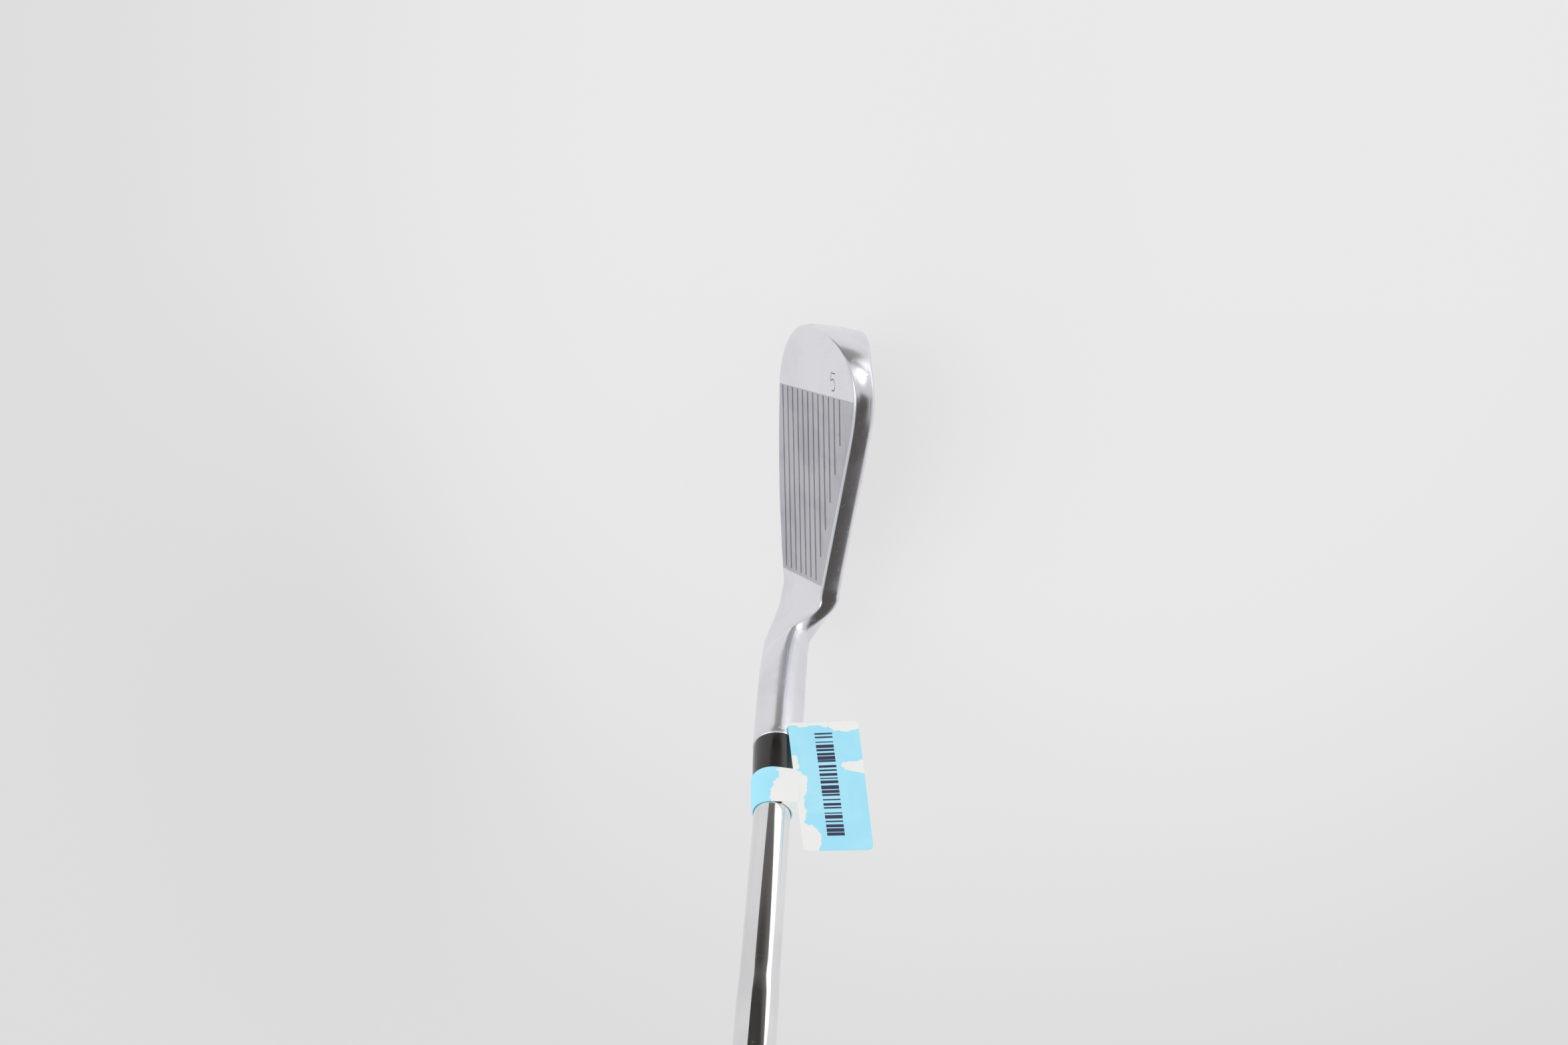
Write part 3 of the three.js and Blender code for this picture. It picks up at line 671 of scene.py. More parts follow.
# Fine even grain, such as blasting, paper fibre or moulded rubber.
def makeFineGrain():
    tree, given, out = effectGroup(
        "fineGrain", {"Scale": 2500.0, "Coarse Share": 0.4, "Stretch X": 1.0}, ("Height",))
    place = shaderNode(tree, "ShaderNodeTexCoord").outputs["Object"]
    squash = shaderNode(tree, "ShaderNodeCombineXYZ", {"X": given["Stretch X"], "Y": 1.0, "Z": 1.0})
    stretched = shaderNode(tree, "ShaderNodeVectorMath", {0: place, 1: squash.outputs[0]},
        operation="MULTIPLY")
    fine = shaderNode(tree, "ShaderNodeTexNoise", {
        "Vector": stretched.outputs[0], "Scale": given["Scale"], "Detail": 3.0, "Roughness": 0.65})
    broad = shaderMath(tree, "MULTIPLY", given["Scale"], 0.22)
    coarse = shaderNode(tree, "ShaderNodeTexNoise", {"Vector": stretched.outputs[0], "Scale": broad,
        "Detail": 2.0})
    keep = shaderMath(tree, "SUBTRACT", 1.0, given["Coarse Share"])
    part = shaderMath(tree, "MULTIPLY", fine.outputs["Fac"], keep)
    tree.links.new(shaderMath(tree, "MULTIPLY_ADD", coarse.outputs["Fac"], given["Coarse Share"], part),
        out["Height"])
    return tree


# Worn edges: convex corners, broken up by noise.
def makeEdgeWear():
    tree, given, out = effectGroup(
        "edgeWear", {"Start": 0.53, "Full": 0.62, "Breakup Scale": 300.0}, ("Wear",))
    place = shaderNode(tree, "ShaderNodeTexCoord").outputs["Object"]
    corner = shaderNode(tree, "ShaderNodeNewGeometry").outputs["Pointiness"]
    noise = shaderNode(tree, "ShaderNodeTexNoise", {
        "Vector": place, "Scale": given["Breakup Scale"], "Detail": 3.0}).outputs["Fac"]
    shifted = shaderMath(tree, "MULTIPLY_ADD", shaderMath(tree, "SUBTRACT", noise, 0.5), 0.06, corner)
    made = shaderNode(tree, "ShaderNodeMapRange", {
        "Value": shifted, "From Min": given["Start"], "From Max": given["Full"]})
    tree.links.new(made.outputs["Result"], out["Wear"])
    return tree


# Height up the shaft line, in metres from the ground.
def makeAlongShaft():
    tree, _, out = effectGroup("alongShaft", {}, ("Height",))
    place = shaderNode(tree, "ShaderNodeTexCoord").outputs["Object"]
    fromFoot = shaderNode(tree, "ShaderNodeVectorMath", {
        0: place, 1: tuple(shaftFoot * toMetres)}, operation="SUBTRACT")
    along = shaderNode(tree, "ShaderNodeVectorMath", {
        0: fromFoot.outputs[0], 1: tuple(shaftUp)}, operation="DOT_PRODUCT")
    tree.links.new(along.outputs["Value"], out["Height"])
    return tree


handlingMarks = makeHandlingMarks()
fineGrain = makeFineGrain()
edgeWear = makeEdgeWear()
alongShaft = makeAlongShaft()


def useGroup(tree, group, values):
    made = tree.nodes.new("ShaderNodeGroup")
    made.node_tree = group
    for label, value in values.items():
        made.inputs[label].default_value = value
    return made.outputs


# A new material, its tree and its Principled BSDF, with the even values set on the shader itself.
def newMaterial(name, even=None):
    material = bpy.data.materials.new(name)
    material.use_nodes = True
    tree = material.node_tree
    shader = tree.nodes["Principled BSDF"]
    for label, value in (even or {}).items():
        shader.inputs[label].default_value = value
    return material, tree, shader


def addBump(tree, shader, height, strength, distance):
    bump = shaderNode(tree, "ShaderNodeBump", {"Strength": strength, "Distance": distance, "Height": height})
    tree.links.new(bump.outputs["Normal"], shader.inputs["Normal"])


# Metal with smudges that change its gloss, fine scratches and bright worn edges.
def metalFinish(name, values):
    material, tree, shader = newMaterial(name, {"Metallic": 1.0})
    marks = useGroup(tree, handlingMarks, {"Smudge Scale": values["smudgeScale"],
        "Scratch Scale": values["scratchScale"], "Speck Scale": values["speckScale"],
        "Speck Size": values["speckSize"]})
    grain = useGroup(tree, fineGrain, {"Scale": values["grainScale"], "Coarse Share": 0.35,
        "Stretch X": values["stretch"]})
    wear = useGroup(tree, edgeWear, {"Start": 0.54, "Full": 0.66, "Breakup Scale": 400.0})["Wear"]
    tone = blendColours(tree, marks["Smudge"], values["colour"], values["smudged"])
    tone = blendColours(tree, wear, tone, values["worn"])
    tone = blendColours(tree, marks["Speck"], tone, values["pit"])
    tree.links.new(tone, shader.inputs["Base Color"])
    rough = remap(tree, marks["Smudge"], 0.0, 1.0, values["roughness"][0], values["roughness"][1])
    scratched = shaderMath(tree, "MULTIPLY_ADD", marks["Scratch"], values["scratchRoughness"], rough,
        clamped=True)
    tree.links.new(scratched, shader.inputs["Roughness"])
    cut = shaderMath(tree, "MULTIPLY_ADD", marks["Scratch"], -0.2, grain["Height"])
    addBump(tree, shader, cut, values["bump"], values["bumpHeight"])
    return material


headSteel = {
    "colour": (0.82, 0.82, 0.86), "smudged": (0.76, 0.76, 0.80), "worn": (0.90, 0.90, 0.90), "pit": (0.3,
    0.28, 0.25),
    "roughness": (0.23, 0.3), "scratchRoughness": 0.08, "smudgeScale": 70.0, "scratchScale": 700.0,
    "speckScale": 240.0, "speckSize": 0.05, "grainScale": 1500.0, "stretch": 0.2, "bump": 0.008,
    "bumpHeight": 0.00004,
}
faceBlast = dict(
    headSteel, colour=(0.55, 0.55, 0.585), smudged=(0.49, 0.49, 0.53), worn=(0.6, 0.6, 0.62),
    roughness=(0.36, 0.44),
    grainScale=5200.0, stretch=1.0, bump=0.25, bumpHeight=0.00006, scratchRoughness=0.05)
# Groove and numeral walls: steel a little darker than the face, as painted shade in the recesses.
groovePaintedShade = dict(
    headSteel, colour=(0.5, 0.5, 0.53), smudged=(0.4, 0.4, 0.43), worn=(0.6, 0.6, 0.62), roughness=(0.36,
    0.46),
    grainScale=4000.0, stretch=0.1, bump=0.2)
cavityMatt = dict(
    headSteel, colour=(0.42, 0.42, 0.44), smudged=(0.36, 0.36, 0.38), worn=(0.6, 0.6, 0.61),
    roughness=(0.42, 0.52),
    grainScale=3600.0, stretch=1.0, bump=0.3, bumpHeight=0.00008)
shaftChrome = dict(
    headSteel, colour=(0.86, 0.86, 0.87), smudged=(0.80, 0.80, 0.81), worn=(0.86, 0.86, 0.87), pit=(0.3,
    0.28, 0.25),
    roughness=(0.035, 0.075), scratchRoughness=0.05, smudgeScale=45.0, bump=0.012, speckSize=0.035)
badgeMetal = dict(
    headSteel, colour=(0.07, 0.075, 0.085), smudged=(0.05, 0.052, 0.06), worn=(0.34, 0.34, 0.36),
    roughness=(0.3, 0.42),
    grainScale=2600.0, stretch=0.04, bump=0.25)
brassPin = dict(
    headSteel, colour=(0.62, 0.43, 0.16), smudged=(0.5, 0.34, 0.13), worn=(0.7, 0.52, 0.24),
    roughness=(0.25, 0.4))

steel = metalFinish("headSteel", headSteel)
blasted = metalFinish("faceBlast", faceBlast)
grooved = metalFinish("groovePaintedShade", groovePaintedShade)
matt = metalFinish("cavityMatt", cavityMatt)
chrome = metalFinish("shaftChrome", shaftChrome)
badgeDark = metalFinish("badgeMetal", badgeMetal)
brass = metalFinish("brassPin", brassPin)


# Plastic, rubber, paper or resin: grain, smudges, dust specks and rubbed edges.
def softFinish(name, values, even=None):
    material, tree, shader = newMaterial(name, even)
    marks = useGroup(tree, handlingMarks, {"Smudge Scale": values["smudgeScale"],
        "Scratch Scale": values["scratchScale"], "Speck Scale": values["speckScale"],
        "Speck Size": values["speckSize"]})
    grain = useGroup(tree, fineGrain, {"Scale": values["grainScale"], "Coarse Share": 0.4, "Stretch X": 1.0})
    wear = useGroup(tree, edgeWear, {"Start": 0.53, "Full": 0.64, "Breakup Scale": 350.0})["Wear"]
    tone = blendColours(tree, marks["Smudge"], values["colour"], values["smudged"])
    tone = blendColours(tree, wear, tone, values["worn"])
    tone = blendColours(tree, marks["Speck"], tone, values["dust"])
    tree.links.new(tone, shader.inputs["Base Color"])
    rough = remap(tree, marks["Smudge"], 0.0, 1.0, values["roughness"][0], values["roughness"][1])
    dusted = shaderMath(tree, "MULTIPLY_ADD", marks["Speck"], 0.4, rough, clamped=True)
    tree.links.new(dusted, shader.inputs["Roughness"])
    addBump(tree, shader, grain["Height"], values["bump"], values["bumpHeight"])
    return material


ferruleGloss = {
    "colour": (0.009, 0.009, 0.009), "smudged": (0.016, 0.014, 0.012), "worn": (0.03, 0.03, 0.03),
    "dust": (0.5, 0.5, 0.48), "roughness": (0.14, 0.24), "smudgeScale": 120.0, "scratchScale": 800.0,
    "speckScale": 420.0, "speckSize": 0.05, "grainScale": 2500.0, "bump": 0.03, "bumpHeight": 0.00004,
}
gripRubber = dict(
    ferruleGloss, colour=(0.018, 0.018, 0.019), smudged=(0.026, 0.025, 0.025), worn=(0.05, 0.05, 0.05),
    roughness=(0.62, 0.78), smudgeScale=30.0, grainScale=3200.0, bump=0.35, bumpHeight=0.0001,
    speckSize=0.025)
capRubber = dict(gripRubber, colour=(0.014, 0.014, 0.015), roughness=(0.5, 0.66), bump=0.25)
epoxyResin = dict(
    ferruleGloss, colour=(0.58, 0.46, 0.22), smudged=(0.5, 0.38, 0.16), worn=(0.66, 0.56, 0.34),
    roughness=(0.3, 0.5))
foamTape = dict(
    gripRubber, colour=(0.68, 0.64, 0.52), smudged=(0.6, 0.56, 0.44), worn=(0.74, 0.7, 0.6), dust=(0.3,
    0.28, 0.22))
paperTape = dict(foamTape, colour=(0.72, 0.68, 0.56), grainScale=2200.0)
barInk = dict(
    ferruleGloss, colour=(0.008, 0.008, 0.04), smudged=(0.015, 0.015, 0.06), worn=(0.03, 0.03, 0.09),
    dust=(0.2, 0.35, 0.5), roughness=(0.45, 0.6), speckScale=900.0, speckSize=0.02, smudgeScale=300.0)

ferruleBlack = softFinish("ferruleGloss", ferruleGloss, {"Coat Roughness": 0.06, "Coat Weight": 0.35})
rubber = softFinish("gripRubber", gripRubber)
capBlack = softFinish("capRubber", capRubber)
resin = softFinish("epoxyResin", epoxyResin)
foam = softFinish("foamTape", foamTape)
tapePaper = softFinish("paperTape", paperTape)
ink = softFinish("barInk", barInk)

foil = {"silver": (0.62, 0.63, 0.65), "dark": (0.05, 0.055, 0.07), "start": 0.59405, "end": 0.64005}


# Foil band: silver with two dark rings near each end, and a fine turned grain between them.
def foilFinish(values):
    material, tree, shader = newMaterial("bandFoil")
    height = useGroup(tree, alongShaft, {})["Height"]
    place = remap(tree, height, values["start"], values["end"], 0.0, 1.0, smoothly=False)
    fromMiddle = shaderMath(tree, "ABSOLUTE", shaderMath(tree, "SUBTRACT", place, 0.5))
    ring = None
    for low, high in ((0.36, 0.4), (0.42, 0.435)):
        inside = shaderMath(tree, "MULTIPLY", shaderMath(tree, "GREATER_THAN", fromMiddle, low),
                            shaderMath(tree, "LESS_THAN", fromMiddle, high))
        ring = inside if ring is None else shaderMath(tree, "MAXIMUM", ring, inside)
    marks = useGroup(tree, handlingMarks, {"Smudge Scale": 90.0, "Scratch Scale": 700.0,
        "Speck Scale": 300.0, "Speck Size": 0.04})
    silver = blendColours(tree, marks["Smudge"], values["silver"], tuple(c * 0.85 for c in values["silver"]))
    tree.links.new(blendColours(tree, ring, silver, values["dark"]), shader.inputs["Base Color"])
    tree.links.new(remap(tree, ring, 0.0, 1.0, 0.9, 0.0), shader.inputs["Metallic"])
    tree.links.new(remap(tree, marks["Smudge"], 0.0, 1.0, 0.22, 0.36), shader.inputs["Roughness"])
    wave = shaderMath(tree, "SINE", shaderMath(tree, "MULTIPLY", height, 9000.0))
    addBump(tree, shader, shaderMath(tree, "MULTIPLY_ADD", marks["Scratch"], -0.6, wave), 0.1, 0.00002)
    return material


# Printed paper: blue with worn white patches, placed on the sheet by its own UV map, with a painted glow in
# its own colour.
paperTag = {
    "blue": (0.375, 0.80, 0.975), "blueFaded": (0.42, 0.83, 0.975), "white": (0.89, 0.895, 0.86),
    "scale": 60.0,
    "raggedness": 1.5, "paintedGlow": 0.17,
    "tagSpots": [
        (4.5, -0.6, 6.5, 2.2), (10.5, -0.9, 9, 2.2), (16.0, 0.7, 5.0, 3.0), (20.0, 15.6, 5.2, 2.3), (16.4,
        14.9, 3, 1.5),
        (-1.2, 13.5, 3.2, 3.0), (-0.8, 20.5, 4.2, 5.6), (-0.6, 29, 2.6, 9), (1.0, 38.4, 4.6, 5.0), (1.6, 42,
        2.6, 2.4),
    ],
    "bandSpots": [(-3.2, 5.5, 3.5, 12), (15, 4, 4, 9)],
}
tagSize = {"width": 19.5, "length": 41.6, "corner": 1.5, "thickness": 0.3}
bandShift = 30.0  # the band's own part of the UV map starts this far across it


def paperFinish(values):
    # Painted glow: the emission makes the paper give off a little light of its own.
    material, tree, shader = newMaterial("tagPaper", {"Specular IOR Level": 0.35,
        "Emission Strength": values["paintedGlow"]})
    uv = shaderNode(tree, "ShaderNodeUVMap", uv_map="sheetPlace").outputs["UV"]
    place = shaderNode(tree, "ShaderNodeVectorMath", {0: uv, 1: (values["scale"],) * 3},
        operation="MULTIPLY").outputs[0]
    noise = shaderNode(tree, "ShaderNodeTexNoise", {"Vector": place, "Scale": 0.42, "Detail": 4.0,
        "Roughness": 0.5})
    centred = shaderNode(tree, "ShaderNodeVectorMath", {0: noise.outputs["Color"], 1: (0.5, 0.5, 0.5)},
        operation="SUBTRACT")
    moved = shaderNode(tree, "ShaderNodeVectorMath", {
        0: centred.outputs[0], 1: (values["raggedness"] * 2,) * 3, 2: place},
        operation="MULTIPLY_ADD").outputs[0]
    nearest = None
    spots = values["tagSpots"] + [(x + bandShift, y, w, h) for x, y, w, h in values["bandSpots"]]
    for x, y, width, height in spots:
        away = shaderNode(tree, "ShaderNodeVectorMath", {0: moved, 1: (x, y, 0)},
            operation="SUBTRACT").outputs[0]
        scaled = shaderNode(tree, "ShaderNodeVectorMath", {
            0: away, 1: (1 / width, 1 / height, 0)}, operation="MULTIPLY").outputs[0]
        distance = shaderNode(tree, "ShaderNodeVectorMath", {0: scaled}, operation="LENGTH").outputs["Value"]
        nearest = distance if nearest is None else shaderMath(tree, "MINIMUM", nearest, distance)
    bare = remap(tree, nearest, 1.0, 0.95, 0.0, 1.0)
    marks = useGroup(tree, handlingMarks, {"Smudge Scale": 90.0, "Scratch Scale": 600.0,
        "Speck Scale": 500.0, "Speck Size": 0.03})
    grain = useGroup(tree, fineGrain, {"Scale": 3200.0, "Coarse Share": 0.5, "Stretch X": 1.0})
    printed = blendColours(tree, marks["Smudge"], values["blue"], values["blueFaded"])
    tone = blendColours(tree, bare, printed, values["white"])
    tree.links.new(tone, shader.inputs["Base Color"])
    tree.links.new(tone, shader.inputs["Emission Color"])  # painted glow: the paper gives off a little light of its own
    tree.links.new(remap(tree, bare, 0.0, 1.0, 0.48, 0.66), shader.inputs["Roughness"])
    addBump(tree, shader, shaderMath(tree, "MULTIPLY_ADD", bare, 0.4, grain["Height"]), 0.3, 0.00004)
    return material


bandFoil = foilFinish(foil)
tagPaper = paperFinish(paperTag)
print("materials made:", len(bpy.data.materials))

# Slots: polished steel, blasted face, groove walls with painted shade, matt pocket.
for index, material in enumerate((steel, blasted, grooved, matt)):
    headBody.data.materials[index] = material


# Stepped shaft: rings of a tube whose radius grows at each step

hoselTop, ferruleLength, gripLength, capThickness = hosel["top"], 22.4, 265, 5
ferruleStart = hoselTop + 0.2
ferruleEnd = ferruleStart + ferruleLength
gripStart = club["length"] - gripLength
capStart = club["length"] - capThickness
shaftSizes = {
    "Foot": hoselTop - 33, "Top": capStart - 0.2, "Tip Radius": 4.85, "Butt Radius": 7.6, "Wall": 0.5,
    "First Step": hoselTop + 80.5, "Step Count": 13, "Step Pitch": 0.0, "Step Length": 9.0, "Sides": 96,
}
bandEnd = gripStart - 60
bandStart = bandEnd - 46
shaftSizes["Step Pitch"] = (bandStart - 15 - shaftSizes["First Step"]) / (shaftSizes["Step Count"] - 1)


def shaftRadius(height):
    if height < ferruleEnd + 1:
        return 4.75
    sizes = shaftSizes
    passed = math.floor((height - sizes["First Step"]) / sizes["Step Pitch"] + 1 + 1e-6)
    steps = min(sizes["Step Count"], max(0, passed))
    return mix(sizes["Tip Radius"], sizes["Butt Radius"], steps / sizes["Step Count"])


# Six rings a step: the grid's rows run up the outside, and each row is one ring.
def addShaft(sizes):
    piece = linkPiece("shaftTube", bpy.data.meshes.new("shaftTube"))
    nodes = NodeTree("steppedTube")
    given = {}
    for label, value in sizes.items():
        whole = label in ("Step Count", "Sides")
        given[label] = nodes.size(label, value if whole else value * toMetres,
                                  "NodeSocketInt" if whole else "NodeSocketFloat")
    rows = nodes.math("ADD", nodes.math("MULTIPLY", given["Step Count"], 6.0), 6.0)
    line = nodes.node("GeometryNodeMeshLine", {"Count": rows, "Offset": (0, 0, 0.001)})
    index = nodes.node("GeometryNodeInputIndex").outputs[0]
    step = nodes.math("SUBTRACT", nodes.math("FLOOR", nodes.math("DIVIDE", index, 6.0)), 1.0)
    part = nodes.math("MODULO", index, 6.0)
    rise = nodes.math("MULTIPLY", nodes.math("MINIMUM", part, 4.0), 0.25)  # 0 to 1 through the step
    stepFoot = nodes.math("MULTIPLY_ADD", step, given["Step Pitch"], nodes.math(
        "SUBTRACT", given["First Step"], given["Step Length"]))
    ahead = nodes.math("MULTIPLY", nodes.math("MAXIMUM", nodes.math("SUBTRACT", part, 4.0), 0.0),
                       nodes.math("MULTIPLY", given["Step Pitch"], 0.5))
    height = nodes.math("ADD", nodes.math("MULTIPLY_ADD", rise, given["Step Length"], stepFoot), ahead)
    inside = nodes.math("MINIMUM", nodes.math("MAXIMUM", height, given["Foot"]), given["Top"])
    eased = nodes.node("ShaderNodeMapRange", {"Value": rise},
        interpolation_type="SMOOTHSTEP").outputs["Result"]
    climbed = nodes.math("MAXIMUM", nodes.math("ADD", step, eased), 0.0)
    share = nodes.math("MINIMUM", nodes.math("DIVIDE", climbed, given["Step Count"]), 1.0)
    grown = nodes.math("SUBTRACT", given["Butt Radius"], given["Tip Radius"])
    radius = nodes.math("MULTIPLY_ADD", share, grown, given["Tip Radius"])
    isTip = nodes.node("FunctionNodeCompare", {0: index, 1: 0.5}, data_type="FLOAT", operation="LESS_THAN")
    first = nodes.node("GeometryNodeSwitch", {0: isTip.outputs[0], 1: inside, 2: given["Foot"]},
        input_type="FLOAT")
    isTop = nodes.node("FunctionNodeCompare", {0: index, 1: nodes.math("SUBTRACT", rows, 1.5)},
                       data_type="FLOAT", operation="GREATER_THAN")
    ends = nodes.node("GeometryNodeSwitch", {0: isTop.outputs[0], 1: first.outputs[0], 2: given["Top"]},
                      input_type="FLOAT")
    placed = nodes.node("GeometryNodeSetPosition", {
        "Geometry": line.outputs[0], "Position": nodes.vector(0.0, 0.0, ends.outputs[0])})
    path = nodes.node("GeometryNodeMeshToCurve", {"Mesh": placed.outputs[0]})
    ring = nodes.node("GeometryNodeCurvePrimitiveCircle", {"Radius": 1.0, "Resolution": given["Sides"]},
        mode="RADIUS")
    tubes = []
    for shrink in (None, given["Wall"]):
        size = radius if shrink is None else nodes.math("SUBTRACT", radius, shrink)
        sized = nodes.node("GeometryNodeSetCurveRadius", {"Curve": path.outputs[0], "Radius": size})
        tube = nodes.node("GeometryNodeCurveToMesh", {"Curve": sized.outputs[0],
            "Profile Curve": ring.outputs[0]})
        for socket in tube.inputs:
            if socket.name == "Scale":
                nodes.plug(size, socket)
        tubes.append(tube.outputs[0])
    inner = nodes.node("GeometryNodeFlipFaces", {"Mesh": tubes[1]})
    both = nodes.node("GeometryNodeJoinGeometry")
    for source in (inner.outputs[0], tubes[0]):
        nodes.tree.links.new(source, both.inputs[0])
    nodes.build(piece, both.outputs[0], chrome)
    closeTubeEnds(piece)
    piece.data.transform(ontoShaft)
    return piece


def closeTubeEnds(piece):
    work = bmesh.new()
    work.from_mesh(piece.data)
    loose = [edge for edge in work.edges if len(edge.link_faces) == 1]
    for top in (False, True):
        middle = (max(v.co.z for v in work.verts) + min(v.co.z for v in work.verts)) / 2
        rim = [edge for edge in loose if (edge.verts[0].co.z > middle) == top]
        bmesh.ops.bridge_loops(work, edges=rim)
    work.to_mesh(piece.data)
    work.free()
    tidyMesh(piece.data, 32)


shaftTube = addShaft(shaftSizes)
print("shaft:", len(shaftTube.data.polygons), "faces")


# Ferrule

ferrule = {"foot": 6.45, "tail": 5.12, "bore": 4.87, "power": 1.2, "rings": 16}


def ferruleRadius(height):
    return mix(ferrule["foot"], ferrule["tail"],
        clamp01((height - ferruleStart) / ferruleLength) ** ferrule["power"])


def addFerrule(sizes):
    outer = [(ferruleRadius(h), h, 0) for h in spread(ferruleStart + 0.5, ferruleEnd - 0.3, sizes["rings"],
        last=True)]
    corners = [(sizes["foot"], ferruleStart, 0.35)] + outer + [(sizes["tail"], ferruleEnd, 0.12)]
    corners += [(sizes["bore"], ferruleEnd, 0.05), (sizes["bore"], ferruleStart, 0.05)]
    piece = turnedPiece("ferruleCollar", corners, 112)
    piece.data.materials.append(ferruleBlack)
    return piece


ferruleCollar = addFerrule(ferrule)


# Foil band, and the sleeve and cap of the grip

grip = {"bore": 8.26, "mouth": 9.3, "butt": 13.46, "lip": 0.8, "power": 1.15, "rings": 26}
cap = {"radius": 14.1, "vent": 2.0, "round": 1.6, "lip": 0.5}


def gripRadius(height):
    share = clamp01((height - gripStart) / (capStart - 0.2 - gripStart))
    return mix(grip["mouth"], grip["butt"], share ** grip["power"])


def addBand():
    inner, outer = shaftRadius(bandEnd) + 0.12, shaftRadius(bandEnd) + 0.24
    corners = [(outer, bandStart, 0.05), (outer, bandEnd, 0.05), (inner, bandEnd, 0), (inner, bandStart, 0)]
    piece = turnedPiece("shaftFoil", corners, 112)
    piece.data.materials.append(bandFoil)
    return piece


def addCap(sizes):
    radius, vent, lip = sizes["radius"], sizes["vent"], sizes["lip"]
    top = club["length"]
    corners = [
        (vent, capStart, 0), (radius, capStart, 1.0), (radius, top, sizes["round"]), (radius - 3.2, top, 0.3),
        (radius - 3.7, top - lip, 0.3), (vent + 3.4, top - lip, 0.3), (vent + 2.9, top - 0.1, 0.3), (vent,
        top - 0.1, 0.5),
    ]
    piece = turnedPiece("gripEndCap", corners, 112)
    piece.data.materials.append(capBlack)
    return piece


padSizes = {
    "Start": 24.0, "Row Pitch": 6.2, "Rows": 34, "Around": 14, "Length": 3.9, "Width": 2.1, "Height": 0.36,
    "Round": 0.45,
}


# Grip: a tapered sleeve with rows of raised lozenges, turned by half a space from row to row.
def addGrip(sizes, pads):
    end = capStart - 0.2
    outer = [(gripRadius(h) - 0.36, h, 0) for h in spread(gripStart + 3, end - 2, sizes["rings"], last=True)]
    corners = [(sizes["mouth"] - 0.36, gripStart, sizes["lip"])] + outer + [(gripRadius(end) - 0.36, end,
        0.6)]
    corners += [(sizes["bore"], end, 0), (sizes["bore"], gripStart, 0)]
    rings = [[(r * math.cos(2 * math.pi * k / 96), r * math.sin(2 * math.pi * k / 96), h) for k in range(96)]
             for r, h in roundedProfile(corners)]
    points, faces = skinRings(rings, loop=True)
    piece = meshPiece("gripSleeve", points, faces)
    nodes = NodeTree("gripPads")
    given = {}
    for label, value in pads.items():
        whole = label in ("Rows", "Around")
        given[label] = nodes.size(label, value if whole else value * toMetres,
                                  "NodeSocketInt" if whole else "NodeSocketFloat")
    ends = {"Low Radius": grip["mouth"], "High Radius": grip["butt"], "Low End": gripStart, "High End": end}
    for label, value in ends.items():
        given[label] = nodes.size(label, value * toMetres)
    total = nodes.math("MULTIPLY", given["Rows"], given["Around"])
    line = nodes.node("GeometryNodeMeshLine", {"Count": total, "Offset": (0, 0, 0.001)})
    index = nodes.node("GeometryNodeInputIndex").outputs[0]
    row = nodes.math("FLOOR", nodes.math("DIVIDE", nodes.math("ADD", index, 0.5), given["Around"]))
    column = nodes.math("SUBTRACT", index, nodes.math("MULTIPLY", row, given["Around"]))
    half = nodes.math("MULTIPLY", nodes.math("MODULO", row, 2.0), 0.5)
    angle = nodes.math("DIVIDE", nodes.math("MULTIPLY", nodes.math("ADD", column, half), math.tau),
        given["Around"])
    above = nodes.math("MULTIPLY_ADD", row, given["Row Pitch"], given["Start"])
    height = nodes.math("ADD", above, given["Low End"])
    share = nodes.math("DIVIDE", above, nodes.math("SUBTRACT", given["High End"], given["Low End"]))
    grown = nodes.math("MULTIPLY", nodes.math("POWER", share, sizes["power"]),
                       nodes.math("SUBTRACT", given["High Radius"], given["Low Radius"]))
    sink = nodes.math("MULTIPLY", given["Height"], 1.0)
    radius = nodes.math("SUBTRACT", nodes.math("ADD", given["Low Radius"], grown), sink)
    spot = nodes.vector(nodes.math("MULTIPLY", radius, nodes.math("COSINE", angle)),
                        nodes.math("MULTIPLY", radius, nodes.math("SINE", angle)), height)
    placed = nodes.node("GeometryNodeSetPosition", {"Geometry": line.outputs[0], "Position": spot})
    pad = nodes.node("GeometryNodeMeshCube", {
        "Size": nodes.vector(nodes.math("MULTIPLY", given["Height"], 2.0), given["Width"], given["Length"])})
    bent = nodes.node("GeometryNodeSubdivisionSurface", {"Mesh": pad.outputs[0], "Level": 1,
        "Edge Crease": 0.35})
    instances = nodes.node("GeometryNodeInstanceOnPoints", {
        "Points": placed.outputs[0], "Instance": bent.outputs[0], "Rotation": nodes.vector(0.0, 0.0, angle)})
    both = nodes.node("GeometryNodeJoinGeometry")
    for source in (instances.outputs[0], nodes.inside.outputs["Geometry"]):
        nodes.tree.links.new(source, both.inputs[0])
    nodes.build(piece, both.outputs[0], rubber, 50)
    piece.data.transform(ontoShaft)
    return piece


shaftFoil = addBand()
gripSleeve = addGrip(grip, padSizes)
gripEndCap = addCap(cap)
print("grip:", len(gripSleeve.data.polygons), "faces")


# Paper tag: a flat sheet beside the ferrule, held by a band that loops round it

tagPlace = {
    "reach": 1.9, "start": 70.4, "skew": math.radians(9), "turn": math.radians(-9), "standoff": 6.3,
    "lift": 0.55,
    "bend": 1.3, "curl": 0.06, "openAngle": math.radians(30),
    "bandStart": 85.6, "bandLength": 10.8, "bandGap": 0.08, "joinAt": 6.3, "rows": 64, "columns": 30,
}


# The sheet lifts at its corner over the hosel and bends back towards its lower end, in millimetres.
def tagLift(x, y):
    nearHosel = smooth(1 - y / 16) * smooth(1 - x / 9)
    along, over = y / tagSize["length"], x / tagSize["width"]
    return tagPlace["lift"] * nearHosel + tagPlace["bend"] * (over * (1 - along) - along ** 1.5)


